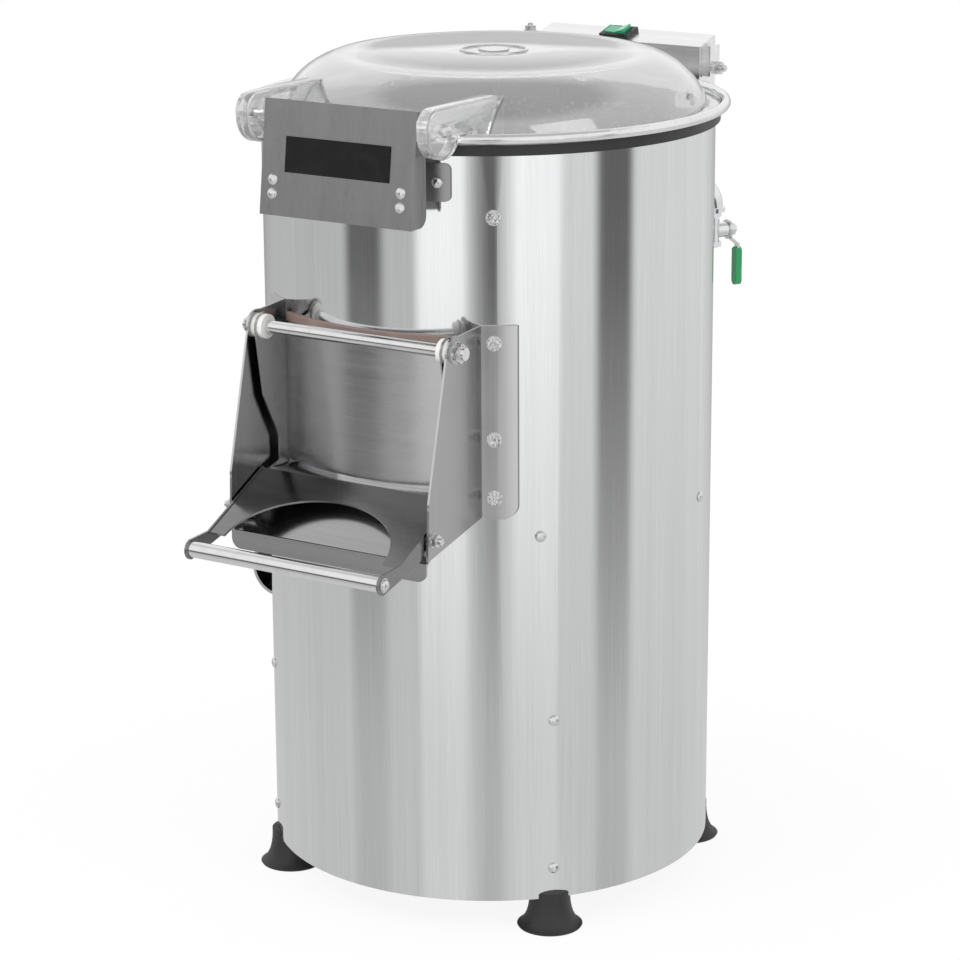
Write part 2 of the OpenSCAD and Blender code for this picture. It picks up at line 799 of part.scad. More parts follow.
module water_elbow() {
    inner = elbow_r - 3;
    leg = body_r - lining_in + 4;
    color("#d9dcde") placed() around(water_angle) difference() {
        union() {
            translate([0, leg - body_r, water_z]) rotate([90, 0, 0]) cylinder(r = elbow_r, h = leg);
            translate([0, -body_r, water_z0]) rotate([0, 0, -90]) rotate([90, 0, 0])
                rotate_extrude(angle = 90) translate([water_bend, 0]) circle(r = elbow_r);
            translate([0, -water_r, water_z0 - collar_h]) cylinder(r = elbow_r + 2, h = collar_h);
        }
        translate([0, leg - body_r + over, water_z]) rotate([90, 0, 0]) cylinder(r = inner, h = leg + over);
        translate([0, -body_r, water_z0]) rotate([0, 0, -90]) rotate([90, 0, 0])
            rotate_extrude(angle = 90) translate([water_bend, 0]) circle(r = inner);
        translate([0, -water_r, water_z0 - collar_h - over]) cylinder(r = inner, h = collar_h + over);
    }
}

// Valve body with its stem, which points outwards
module ball_valve() {
    stem_l = stem_end - stem_start;
    color("#c8cacc") placed() around(water_angle) {
        difference() {
            translate([0, -water_r, valve_z0]) union() {
                cylinder(r = valve_r, h = valve_h);
                hex(valve_r + 2, 5);
                translate([0, 0, valve_h - 5]) hex(valve_r + 2, 5);
            }
            translate([0, -water_r, valve_z0 - over]) cylinder(r = tail_thread_r, h = tail_grip + over);
        }
        translate([0, -stem_start, stem_z]) rotate([90, 0, 0]) {
            cylinder(r = stem_r + 2, h = stem_l);
            cylinder(r = stem_r - 2, h = stem_l + lever_hub_t + valve_nut_h + 2, $fn = edge_fn);
        }
    }
}

// Strap that hangs from the stem, then runs out and down
module valve_lever() {
    half = 3;
    out = lever_crank;
    drop = lever_drop;
    y0 = -stem_end;
    y1 = y0 - lever_hub_t;
    color("#b7babd") placed() around(water_angle) difference() {
        union() {
            translate([0, y0, stem_z]) rotate([90, 0, 0]) cylinder(r = stem_r + 4, h = lever_hub_t);
            sheet_yz([
                [y0, stem_z], [y0, stem_z - drop], [y0 - out, stem_z - drop - 8],
                [y0 - out, stem_z - valve_lever_l], [y1 - out, stem_z - valve_lever_l],
                [y1 - out, stem_z - drop - 7], [y1, stem_z - drop + 1], [y1, stem_z]
            ], -half, half);
        }
        translate([0, y0 + over, stem_z]) rotate([90, 0, 0])
            cylinder(r = stem_r - 2 + run, h = lever_hub_t + 2 * over, $fn = edge_fn);
    }
}

// Dipped sleeve on the strap, round at both ends
module valve_sleeve() {
    half = 4.8;
    t = 1.6;
    drop = lever_drop + 10;
    y0 = -stem_end - lever_crank - lever_hub_t;
    z0 = stem_z - valve_lever_l;
    z1 = stem_z - drop;
    color("#3f9d72") placed() around(water_angle) difference() {
        translate([0, y0 + lever_hub_t + t, 0]) rotate([90, 0, 0]) linear_extrude(lever_hub_t + 2 * t) union() {
            translate([-half, z0]) square([2 * half, z1 - z0 - half / 2]);
            translate([0, z0]) circle(r = half, $fn = edge_fn);
            translate([0, z1 - half]) circle(r = half, $fn = edge_fn);
        }
        translate([-3, y0, z0]) cube([6, lever_hub_t, z1 - z0 + over]);
    }
}

module valve_nut() {
    color("#cfd1d3") placed() around(water_angle) translate([0, -stem_end - lever_hub_t - run, stem_z])
        rotate([90, 0, 0]) difference() {
            hex(nut_r, valve_nut_h);
            translate([0, 0, -over]) cylinder(r = stem_r - 2, h = valve_nut_h + 2 * over, $fn = edge_fn);
        }
}

// Hose tail with three barbs
module brass_inlet() {
    barb = (tail_l - 4) / 3;
    color("#c9a24a") placed() around(water_angle, water_r) translate([0, 0, valve_z0 - tail_l])
        rotate_extrude() polygon(concat(
            [[tail_bore, 0], [tail_r - 1.5, 0]],
            [for (i = [0:2]) each [[tail_r, i * barb + barb * 0.7], [tail_r - 1, i * barb + barb]]],
            [[tail_r, tail_l - 4], [tail_r, tail_l], [tail_thread_r, tail_l],
                [tail_thread_r, tail_l + tail_grip], [tail_bore, tail_l + tail_grip]]
        ));
}

// Chute ---------------------------------------------------------------------------------------

function chute_bolt_zs() = [rod_z, chute_z0 + 86, chute_z0 + 35];
function chute_bolt_angle() = asin((chute_half + 8) / body_r);

// Outline of a cheek, from the ear round the rod down to the tray's lip
function cheek_points() = let (back = edge_y(cheek_in, body_r + seat + chute_t / 2)) concat(
    [[back, chute_z0 + 18], [back, chute_z1]],
    arc([rod_y, rod_z], 14, 70, 190),
    arc([-(body_r + 40), chute_z0 + 46], 16, 170, 190),
    [[-(body_r + chute_reach), chute_z0]]
);

module chute_side() {
    flange_r = (flange_w + chute_t) / 2;
    flange_z = chute_z0 + 16 + flange_w / 2;
    color("#c4c7c9") difference() {
        union() {
            sheet_yz(cheek_points(), cheek_in, chute_half);
            intersection() {
                tube(body_r + seat + chute_t, body_r + seat, chute_z0 + 16, chute_z1);
                translate([cheek_in, 0, 0]) rotate([90, 0, 0]) linear_extrude(body_r + 20) union() {
                    translate([0, flange_z]) square([2 * flange_r, chute_z1 - flange_z]);
                    translate([flange_r, flange_z]) circle(r = flange_r);
                }
            }
        }
        translate([0, rod_y, rod_z]) rod_x(rod_r, cheek_in - over, chute_half + over);
        translate([0, latch_pos[0], latch_pos[1]]) rod_x(m6_r, cheek_in - over, chute_half + over);
        for (z = chute_bolt_zs()) body_hole(chute_bolt_angle(), z, m6_r);
    }
}

module chute_side_right() {
    placed() chute_side();
}

module chute_side_left() {
    placed() mirror([1, 0, 0]) chute_side();
}

// Part of the tray's sheet between two depths, down its slope
module tray_strip(y0, y1, half) {
    drop = chute_t / cos(tray_slope);
    z0 = tray_at(y0);
    z1 = tray_at(y1);
    sheet_yz([[y0, z0], [y1, z1], [y1, z1 - drop], [y0, z0 - drop]], -half, half);
}

// Tray between the cheeks: a level back edge on the body, a slope and a down-turned lip.
// It is narrower at the back, beside the lever's pivots.
module chute_tray() {
    wide = cheek_in - seat;
    lip_top = tray_at(tray_front);
    lip_round = 9;
    color("#c4c7c9") placed() difference() {
        union() {
            translate([-tray_half, tray_bend, tray_z - chute_t]) cube([2 * tray_half, 50, chute_t]);
            tray_strip(tray_bend + over, tray_wide_y - over, tray_half);
            tray_strip(tray_wide_y, tray_front, wide);
            translate([0, tray_front, 0]) rotate([90, 0, 0]) linear_extrude(chute_t) polygon(concat(
                [[-wide, lip_top], [wide, lip_top]],
                arc([wide - lip_round, lip_top - lip_h + lip_round / 2], lip_round, 0, -90, 6),
                arc([-wide + lip_round, lip_top - lip_h + lip_round / 2], lip_round, -90, -180, 6)
            ));
        }
        translate([0, 0, tray_z - lip_h]) cylinder(r = body_r + 2 * seat, h = 2 * lip_h, $fn = ring_fn);
        translate([-tray_half - over, tray_bend, tray_z]) cube([2 * tray_half + 2 * over, 50, lip_h]);
    }
}

module chute_bolts() {
    color("#c2c4c6") placed() for (s = [-1, 1]) {
        for (z = chute_bolt_zs())
            on_body(s * chute_bolt_angle(), z, body_r + chute_t + 2 * seat) hex_bolt(chute_t + wall + 2 * seat);
        on_body(s * chute_bolt_angle(), side_bolt_height(), body_r + seat) hex_bolt(wall + seat);
    }
}

// Height of the washer bolt above each flange
function side_bolt_height() = shell_z1 - side_bolt_drop;

// Rubber trim round the outlet, gripping the sheet
module outlet_seal() {
    color("#c9a59d") placed() difference() {
        union() {
            tube(trim_r1, trim_r0, outlet_z0 - trim_low_leg, outlet_z1 + trim_leg);
            tube(inner_r - seat, lining_in, outlet_z0 - trim_low_leg, outlet_z1 + trim_leg - 1);
            tube(trim_r1, lining_in, outlet_z0, outlet_z1);
        }
        outlet_keep_out();
        outlet_cut(-2);
    }
}

// All of the ring outside the trim's own width
module outlet_keep_out() {
    x = outlet_half + trim_leg;
    grip = outlet_half - seat;
    translate([-far, -body_r + 60, 0]) cube([2 * far, far, 2 * far]);
    for (s = [-1, 1]) translate([s * (x + far / 2), 0, far]) cube([far, 2 * far, 2 * far], center = true);
    difference() {
        tube(body_r + seat, inner_r - seat, outlet_z0 - 40, outlet_z1 + 40);
        translate([-grip, -body_r - 20, outlet_z0 + seat])
            cube([2 * grip, 60, outlet_z1 - outlet_z0 - 2 * seat]);
    }
}

// Door and latch -------------------------------------------------------------------------------

// Outline of a door flange: ear round the rod, straight edge, kink, ear round the lever's pivot
function door_flange_points() = concat(
    arc([rod_y, rod_z], 12, 20, 180),
    [[rod_y - 2, rod_z - 61], [lever_y + 8, rod_z - 102], [lever_y + 8, lever_z + 12]],
    arc(lever_pos, lever_ear_r, 140, 360),
    [[edge_y(door_half, panel_r) + 4, panel_z0], [edge_y(door_half, panel_r) + 4, panel_z1 - 6]]
);

module outlet_door() {
    color("#cfd2d4") placed() difference() {
        union() {
            intersection() {
                tube(panel_r + door_t, panel_r, panel_z0, panel_z1);
                translate([-door_in - over / 2, -body_r - 20, panel_z0 - over])
                    cube([2 * door_in + over, 60, panel_z1 - panel_z0 + 2 * over]);
            }
            both_sides() difference() {
                sheet_yz(door_flange_points(), door_in, door_half);
                translate([0, 0, panel_z0 - 40])
                    cylinder(r = panel_r, h = panel_z1 - panel_z0 + 80, $fn = ring_fn);
            }
        }
        translate([0, rod_y, rod_z]) rod_x(bush_sleeve_r(), -door_half - over, door_half + over);
        translate([0, lever_pos[0], lever_pos[1]]) rod_x(lever_pivot_r, -door_half - over, door_half + over);
    }
}

function bush_sleeve_r() = rod_r + 1.5;

module door_rod() {
    color("#b9bcbf") placed() translate([0, rod_y, rod_z]) rod_x(rod_r, -rod_half, rod_half);
}

module rod_nuts() {
    color("#c2c4c6") placed() both_sides() translate([0, rod_y, rod_z]) difference() {
        union() {
            rod_x(rod_r + 4, chute_half, chute_half + washer_t);
            translate([chute_half + washer_t, 0, 0]) rotate([0, 90, 0]) hex(rod_r + 3.5, nut_h);
        }
        rod_x(rod_r, chute_half - over, rod_half + over);
    }
}

// Nylon bushes: outer flange, sleeve in the door's ear, inner flange
module door_bushes() {
    color("#ecebe6") placed() both_sides() translate([0, rod_y, rod_z]) difference() {
        union() {
            rod_x(bush_r, door_half, cheek_in - seat);
            rod_x(bush_sleeve_r(), bush_in_half, cheek_in - seat);
            rod_x(bush_r, bush_in_half, door_in);
        }
        rod_x(rod_r + run, bush_in_half - over, cheek_in + over);
    }
}

module latch_pins() {
    color("#c2c4c6") placed() both_sides() translate([0, latch_pos[0], latch_pos[1]]) {
        rod_x(m6_r, cheek_in - 12, chute_half + washer_t + nut_h + 2 * stud_out);
        rod_x(latch_r, cheek_in - 13, cheek_in);
        rod_x(m6_r + 3, chute_half, chute_half + washer_t);
        translate([chute_half + washer_t, 0, 0]) rotate([0, 90, 0]) hex(nut_r, nut_h - 1);
    }
}

// Outline of a lever cheek: ear at the pivot, hook over the latch pin, eye at the tube
function lever_points() = let (
    under = [latch_pos[0] + latch_r + 1, latch_pos[1] + latch_r + pass]
) concat(
    arc(lever_pos, lever_ear_r, 250, 150),
    [web_back + [0, 1]],
    [web_front + [0, 1]],
    arc(tube_pos, tube_r + 2, 80, 260),
    [[latch_pos[0] - 26, chute_z0 - 2], [latch_pos[0] - 14, chute_z0 + 2]],
    arc(latch_pos, latch_r + pass, 215, 90),
    [under, [lever_y - 10, latch_pos[1] + latch_r + pass + 2]]
);

module latch_lever() {
    web_len = norm(web_back - web_front);
    web_half = lever_half - 2 * seat;
    mouth_half = lever_in - 16;
    mouth_depth = 62;
    color("#c4c7c9") placed() difference() {
        union() {
            both_sides() sheet_yz(lever_points(), lever_in, lever_half);
            translate([0, web_back[0], web_back[1]]) rotate([web_slope, 0, 0]) difference() {
                translate([-web_half, -web_len, -lever_t]) cube([2 * web_half, web_len, lever_t]);
                translate([0, -web_len, -lever_t - over]) linear_extrude(lever_t + 2 * over) intersection() {
                    scale([mouth_half / mouth_depth, 1]) circle(r = mouth_depth);
                    translate([-mouth_half, -over]) square([2 * mouth_half, web_len]);
                }
            }
        }
        translate([0, lever_pos[0], lever_pos[1]])
            rod_x(lever_pivot_r + run, -lever_half - over, lever_half + over);
        translate([0, tube_pos[0], tube_pos[1]]) rod_x(m6_r, -lever_half - over, lever_half + over);
    }
}

module lever_tube() {
    color("#d2d4d6") placed() translate([0, tube_pos[0], tube_pos[1]]) difference() {
        rod_x(tube_r, -lever_in, lever_in);
        rod_x(m6_r, -lever_in - over, -lever_in + 15);
        rod_x(m6_r, lever_in - 15, lever_in + over);
    }
}

module tube_end_screws() {
    flat_washer_t = 0.6;
    thread_l = lever_t + 14;
    color("#b4b6b8") placed() both_sides() translate([lever_half, tube_pos[0], tube_pos[1]]) rotate([0, 90, 0]) {
        cylinder(r = m6_r + 3, h = flat_washer_t, $fn = edge_fn);
        translate([0, 0, flat_washer_t]) dome_head(m6_r + 2.2, 3.4);
        translate([0, 0, -thread_l]) cylinder(r = m6_r, h = thread_l + flat_washer_t, $fn = edge_fn);
    }
}

// Rivets through the door's flange and the lever's cheek
module lever_pivots() {
    color("#b4b6b8") placed() both_sides() translate([0, lever_pos[0], lever_pos[1]]) {
        rod_x(lever_pivot_r, door_in - 1, lever_half + 0.4);
        rod_x(lever_pivot_r + 2, door_in - 2.5, door_in);
        rod_x(lever_pivot_r + 1, door_half, lever_in - pass / 2);
    }
}

// Lid and front bracket --------------------------------------------------------------------------

// Profile of the dome from its foot to the axis, moved inwards by inset
function dome_points(inset) = concat(
    [for (i = [0:lid_curve_n]) bend(
        [dome_r - inset, lid_z], [dome_r - inset - 8, lid_top_z - 14 - inset],
        [lid_top_r - inset / 3, lid_top_z - 1 - inset], i / lid_curve_n
    )],
    [[lid_top_r - 12, lid_top_z - inset], [0, lid_top_z - inset]]
);

module dome_solid(inset) {
    rotate_extrude($fn = ring_fn) polygon(concat([[0, lid_z]], dome_points(inset)));
}

// Outline of a lid ear, moved inwards by inset: round the pivot in front, back over the rim's roll
function ear_points(inset = 0) = let (
    low = lid_z + 2 + inset,
    step_z = hop_z + inset,
    reach = ear_reach - inset,
    top = pivot_z + 19 - inset,
    back = -lid_top_r + 15 - inset
) concat(
    arc([pivot_y, pivot_z], reach, asin((step_z - pivot_z) / reach), -172, 14),
    arc([pivot_y - 8, top - 17 + inset], 17 - inset, 175, 95, 6),
    [[pivot_y + 74, top], [back, top - 3], [back, low], [hop_y + inset, low], [hop_y + inset, step_z]]
);

// Ear with an outer wall, a rib round its edge and a boss round the pivot
module lid_ear() {
    difference() {
        sheet_yz(ear_points(), ear_in, ear_out);
        difference() {
            sheet_yz(ear_points(ear_wall), ear_in - over, ear_out - ear_wall);
            translate([0, pivot_y, pivot_z]) rod_x(pivot_r + ear_wall, ear_in - 2 * over, ear_out);
        }
    }
}

module lid() {
    color([0.86, 0.88, 0.9, 0.4]) placed() {
        translate([0, lid_shift, 0]) around(lid_boss_angle) translate([0, -dome_r + 23, shelf_z + 20])
            rotate([90, 0, 0]) cylinder(r = 7, h = 14);
        difference() {
            union() {
                cylinder_plate(lid_flange_r, lid_z, lid_t);
                both_sides() lid_ear();
                translate([0, lid_shift, 0]) dome_outside();
            }
            translate([0, lid_shift, 0]) dome_cut();
            translate([0, pivot_y, pivot_z]) rod_x(pivot_r + run, -ear_out - over, ear_out + over);
        }
    }
}

// Round plate from the height z0
module cylinder_plate(r, z0, t) {
    translate([0, 0, z0]) cylinder(r = r, h = t, $fn = ring_fn);
}

// Dome with its raised middle, ring and disc
module dome_outside() {
    top = lid_top_z + plateau_h;
    dome_solid(0);
    cylinder_plate(plateau_r, lid_top_z - over, plateau_h + over);
    tube(boss_r, boss_r - 2, top - over, top + boss_h, 64);
    translate([0, 0, top - over]) cylinder(r = boss_in, h = boss_h + over);
}

// Hollow of the lid, open below
module dome_cut() {
    dome_solid(lid_t);
    translate([0, 0, lid_z - over]) cylinder(r = dome_r - lid_t, h = over, $fn = ring_fn);
}

module lid_hinge_bolts() {
    color("#c2c4c6") placed() both_sides() translate([0, pivot_y, pivot_z]) {
        rod_x(pivot_r, bracket_half - bracket_t - 7, ear_out + 3, edge_fn);
        translate([ear_out + run, 0, 0]) rotate([0, 90, 0]) dome_head(6, 6);
        translate([bracket_half - bracket_t - nut_h, 0, 0]) rotate([0, 90, 0]) hex(nut_r, nut_h);
    }
}

module lid_hinge_spacers() {
    color("#c2c4c6") placed() both_sides() translate([0, pivot_y, pivot_z]) difference() {
        rod_x(6, bracket_half, ear_in - run);
        rod_x(pivot_r, bracket_half - over, ear_in + over);
    }
}

function tab_bolt_z() = (tab_z0 + tab_z1) / 2;
function tab_bolt_angle() = asin((arm_x + tab_w / 2) / body_r);

// Outline of a tab on the body, bent outwards from its arm
function tab_points() = concat(
    [[arm_x, tab_z1], [arm_x, tab_z0]],
    arc([arm_x + tab_w - tab_round, tab_z0 + tab_round], tab_round, -90, 0, 6),
    arc([arm_x + tab_w - tab_round, tab_z1 - tab_round], tab_round, 0, 90, 6)
);

// Outline of the bracket's side: sloped front, round ear at the pivot, rounded lower corner
function bracket_side_points() = concat(
    [[bracket_top_y, bracket_z1]],
    arc([pivot_y, pivot_z], bracket_ear_r, 90, -30, 8),
    [[bracket_back_y, pivot_z - 16]],
    arc([bracket_back_y - bracket_round, bracket_z0 + bracket_round], bracket_round, 0, -80, 6),
    [[bracket_low_y, bracket_z0]]
);

// Moves children onto the bracket's sloped face: Z up the face, -Y outwards
module on_face() {
    translate([0, bracket_low_y, bracket_z0]) rotate([-bracket_tilt, 0, 0]) children();
}

module hinge_bracket() {
    arm_y = edge_y(arm_x);
    face_y = [for (z = [tab_z0, tab_z1]) bracket_low_y + bracket_t / 2 + (z - bracket_z0) * tan(bracket_tilt)];
    color("#7d8082") placed() difference() {
        union() {
            on_face() translate([-bracket_half, 0, 0]) cube([2 * bracket_half, bracket_t, bracket_h]);
            both_sides() {
                sheet_yz(bracket_side_points(), bracket_half - bracket_t, bracket_half);
                sheet_yz([[face_y[0], tab_z0], [arm_y, tab_z0], [arm_y, tab_z1], [face_y[1], tab_z1]],
                    arm_x, arm_x + bracket_t);
                intersection() {
                    tube(body_r + seat + bracket_t, body_r + seat, tab_z0, tab_z1);
                    rotate([90, 0, 0]) linear_extrude(far) polygon(tab_points());
                }
            }
        }
        translate([0, 0, tab_z0 - 10]) cylinder(r = body_r + seat, h = 60, $fn = ring_fn);
        translate([0, pivot_y, pivot_z])
            rod_x(pivot_r, -bracket_half - over, bracket_half + over, edge_fn);
        for (s = [-1, 1]) body_hole(s * tab_bolt_angle(), tab_bolt_z(), m6_r);
        for (s = [-1, 1], z = face_screw_zs) on_face() translate([s * face_screw_x, -over, z])
            rotate([-90, 0, 0]) cylinder(r = screw_r, h = bracket_t + 2 * over, $fn = edge_fn);
    }
}

module name_plate() {
    color("#161616") placed() on_face() translate([-plate_w / 2, -plate_t, plate_mid - plate_h / 2])
        cube([plate_w, plate_t, plate_h]);
}

module bracket_screws() {
    color("#c2c4c6") placed() {
        for (s = [-1, 1], z = face_screw_zs) on_face() translate([s * face_screw_x, 0, z])
            rotate([90, 0, 0]) dome_screw(bracket_t + 4);
        for (s = [-1, 1]) on_body(s * tab_bolt_angle(), tab_bolt_z(), body_r + bracket_t + 2 * seat)
            dome_screw(bracket_t + wall + 2 * seat, m6_r);
    }
}

// Control box --------------------------------------------------------------------------------------

// Outline of the box in the plane of Y and Z, moved inwards by inset, its back open where back is over
function box_points(inset, back = 0) = [
    [box_y0 + inset, box_z0 + inset], [box_y1 + back, box_z0 + inset],
    [box_y1 + back, box_z1 - inset + back * tan(box_slope)], [box_y0 + inset, box_front_z1 - inset]
];

// Moves children onto the sloped top at the rocker, +Z out of it
module on_top() {
    translate([rocker_x, box_top_mid[0], box_top_mid[1]]) rotate([box_slope, 0, 0]) children();
}

module control_box() {
    color("#cdd0d2") placed() difference() {
        sheet_yz(box_points(0), -box_half, box_half);
        sheet_yz(box_points(box_t, over), -box_half + box_t, box_half - box_t);
        on_top() translate([-bezel_w / 2 + bezel_rim, -bezel_d / 2 + bezel_rim, -10])
            cube([bezel_w - 2 * bezel_rim, bezel_d - 2 * bezel_rim, 20]);
        translate([gland_x, box_y0 + box_d / 2, box_z0 - over])
            cylinder(r = gland_r - 1, h = 2 * over + box_t, $fn = edge_fn);
    }
}

module box_back_cover() {
    color("#cdd0d2") placed() translate([-box_half, box_y1, box_z0]) cube([box_w, cover_t, box_h]);
}

function strap_bolt_z() = (strap_z0 + strap_z1) / 2;
function strap_bolt_angle() = asin((strap_half + strap_tab_w / 2) / body_r);

// Channel between the body and the box: web on the box, two arms, two tabs on the body
module box_bracket() {
    arm_y = -edge_y(strap_half - strap_t, body_r + seat + strap_t / 2);
    strap_h = strap_z1 - strap_z0;
    color("#b4b7b9") placed() difference() {
        union() {
            translate([-strap_half, box_y0 - strap_t, strap_z0]) cube([2 * strap_half, strap_t, strap_h]);
            both_sides() {
                translate([strap_half - strap_t, arm_y, strap_z0]) cube([strap_t, box_y0 - arm_y, strap_h]);
                intersection() {
                    tube(body_r + seat + strap_t, body_r + seat, strap_z0, strap_z1);
                    translate([strap_half - strap_t, 0, strap_z0]) cube([strap_tab_w, far, strap_h]);
                }
            }
        }
        for (s = [-1, 1]) body_hole(180 + s * strap_bolt_angle(), strap_bolt_z(), m6_r);
    }
}

// Outline of a side tab round its bolt
function side_tab_points() = concat(
    [[side_tab_y, box_front_z1 - side_tab_h], [side_tab_y, box_front_z1], [side_tab_y + 18, box_front_z1]],
    arc([side_tab_y + 13, box_front_z1 - side_tab_h + 5], 5, 0, -90, 6)
);

// Hole of a side tab's bolt
module side_tab_hole() {
    translate([0, side_bolt_y, side_bolt_z])
        rod_x(m6_r, box_half - over, box_half + side_tab_out + strap_t + over, edge_fn);
}

// Tab on the left with a level flange, and on the right one that stands off the box
module box_side_tabs() {
    z0 = box_front_z1 - side_tab_h;
    color("#cdd0d2") placed() {
        mirror([1, 0, 0]) difference() {
            union() {
                sheet_yz(side_tab_points(), box_half, box_half + strap_t);
                translate([box_half, side_tab_y, box_front_z1 - strap_t]) cube([side_tab_w, 18, strap_t]);
            }
            side_tab_hole();
            translate([side_screw_x, side_tab_y + 9, box_front_z1 - strap_t - over])
                cylinder(r = screw_r, h = strap_t + 2 * over, $fn = edge_fn);
        }
        difference() {
            union() {
                translate([box_half, side_tab_y - 6, z0]) cube([strap_t, 6 + strap_t, side_tab_h]);
                translate([box_half, side_tab_y, z0]) cube([side_tab_out + strap_t, strap_t, side_tab_h]);
                sheet_yz(side_tab_points(), box_half + side_tab_out, box_half + side_tab_out + strap_t);
            }
            side_tab_hole();
        }
    }
}

// Washer, nut and stud on the side tab that stands off the box by out
module side_stud(out) {
    stud_l = strap_t + nut_h + washer_t + 4;
    translate([box_half + out + strap_t, side_bolt_y, side_bolt_z]) rotate([0, 90, 0]) {
        cylinder(r = m6_r + 3, h = washer_t, $fn = edge_fn);
        translate([0, 0, washer_t]) hex(nut_r, nut_h);
        translate([0, 0, -strap_t]) cylinder(r = m6_r, h = stud_l, $fn = edge_fn);
    }
}

module box_screws() {
    color("#c2c4c6") placed() {
        side_stud(side_tab_out);
        mirror([1, 0, 0]) side_stud(0);
        translate([-side_screw_x, side_tab_y + 9, box_front_z1]) hex_bolt(strap_t + 3, screw_r);
        for (s = [-1, 1]) on_body(180 + s * strap_bolt_angle(), strap_bolt_z(), body_r + strap_t + 2 * seat)
            hex_bolt(strap_t + wall + 2 * seat);
        for (s = [-1, 1], z = [box_z0 + 8, box_z1 - 8]) translate([s * (box_half - 8), box_y1 + cover_t, z])
            rotate([-90, 0, 0]) dome_head(screw_head_r - 1, screw_head_h - 1);
    }
}

// Frame round the rocker, with the switch's body below it
module rocker_bezel() {
    w = bezel_w - 2 * bezel_rim;
    d = bezel_d - 2 * bezel_rim;
    depth = 17;
    color("#17181a") placed() on_top() difference() {
        union() {
            translate([-bezel_w / 2, -bezel_d / 2, 0]) cube([bezel_w, bezel_d, bezel_h]);
            translate([-w / 2, -d / 2, -depth]) cube([w, d, depth + over]);
        }
        translate([-w / 2 + 1, -d / 2 + 1, -4]) cube([w - 2, d - 2, bezel_h + 4 + over]);
        rotate([90, 0, 0]) cylinder(r = rocker_r + pass, h = d - 2, center = true);
    }
}

// Rocker that tips along X, resting with one end up
module rocker_button() {
    half_d = bezel_d / 2 - bezel_rim - 1 - pass;
    half_w = bezel_w / 2 - bezel_rim - 1 - 2 * pass;
    color([0.2, 0.68, 0.48, 0.9]) placed() on_top() rotate([0, -rocker_rest, 0]) rotate([90, 0, 0])
        translate([0, 0, -half_d]) linear_extrude(2 * half_d) polygon(concat(
            [[-half_w, 7], [-half_w, 4.2]],
            arc([0, 0], rocker_r - 1.5, 200, 340, 10),
            [[half_w, 4.2], [half_w, 7], [0, 4.8]]
        ));
}

module cable_gland() {
    color("#1b1b1d") placed() translate([gland_x, box_y0 + box_d / 2, box_z0]) difference() {
        union() {
            translate([0, 0, -5]) hex(gland_r + 2, 5);
            translate([0, 0, -16]) cylinder(r1 = gland_r - 2, r2 = gland_r, h = 11);
            translate([0, 0, -over]) cylinder(r = gland_r - 1, h = box_t + over, $fn = edge_fn);
            translate([0, 0, box_t]) hex(gland_r + 2, 4);
        }
        translate([0, 0, -20]) cylinder(r = 3.5, h = 40, $fn = edge_fn);
    }
}

// Assembly -----------------------------------------------------------------------------------------

body_shell();
rim_ring();
rim_seal();
abrasive_lining();
drum_floor();
abrasive_disc();
disc_nut();
drive_shaft();
bearing_housing();
shaft_bearings();
shaft_seal();
driven_pulley();
drive_belt();
motor_pulley();
drive_motor();
motor_shaft();
motor_capacitor();
motor_plate();
leg_brackets();
rubber_feet();
foot_bolts();
foot_nuts();
body_screws();
chute_side_left();
chute_side_right();
chute_tray();
chute_bolts();
outlet_seal();
outlet_door();
door_rod();
rod_nuts();
door_bushes();
latch_pins();
latch_lever();
lever_tube();
tube_end_screws();
lever_pivots();
hinge_bracket();
name_plate();
bracket_screws();
lid();
lid_hinge_bolts();
lid_hinge_spacers();
control_box();
box_back_cover();
box_bracket();
box_side_tabs();
box_screws();
rocker_bezel();
rocker_button();
cable_gland();
drain_elbow();
drain_seal();
water_elbow();
ball_valve();
valve_lever();
valve_sleeve();
valve_nut();
brass_inlet();
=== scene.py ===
import json
import math

import bmesh
import bpy
from bpy.props import FloatProperty, FloatVectorProperty, PointerProperty
from mathutils import Matrix, Vector


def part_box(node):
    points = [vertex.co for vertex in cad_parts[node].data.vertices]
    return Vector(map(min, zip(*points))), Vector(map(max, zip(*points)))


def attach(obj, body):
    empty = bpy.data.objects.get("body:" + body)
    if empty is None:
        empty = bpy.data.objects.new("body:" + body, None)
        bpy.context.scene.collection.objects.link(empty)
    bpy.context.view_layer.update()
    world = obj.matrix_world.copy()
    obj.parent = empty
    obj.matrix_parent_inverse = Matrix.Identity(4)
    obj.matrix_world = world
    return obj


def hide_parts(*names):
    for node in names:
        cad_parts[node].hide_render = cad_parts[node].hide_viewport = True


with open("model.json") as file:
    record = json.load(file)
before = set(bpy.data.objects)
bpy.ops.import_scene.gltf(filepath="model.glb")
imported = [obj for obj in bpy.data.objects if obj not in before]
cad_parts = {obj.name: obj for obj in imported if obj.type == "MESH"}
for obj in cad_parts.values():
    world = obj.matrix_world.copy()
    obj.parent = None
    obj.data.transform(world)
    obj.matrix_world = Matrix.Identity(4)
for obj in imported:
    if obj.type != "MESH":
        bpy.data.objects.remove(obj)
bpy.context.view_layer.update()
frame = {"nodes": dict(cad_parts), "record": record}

bl_info = {
    "name": "Electric potato peeler",
    "version": (1, 0, 0),
    "blender": (4, 5, 0),
    "location": "3D View > Sidebar > Peeler",
    "description": "Gives the packed peeler its finishes, and sets up a studio and a camera",
    "category": "Object",
}

# The camera: its turn to the right of the front, its tilt down and its roll, where it stands in
# metres, and its sensor's width and its focal length in millimetres
CAMERA_TURN = math.radians(32.44)
CAMERA_TILT = math.radians(15.66)
CAMERA_ROLL = math.radians(-0.33)
CAMERA_PLACE = (1.51125, -2.32375, 1.139)
CAMERA_SENSOR = 36
CAMERA_LENS = 119.4

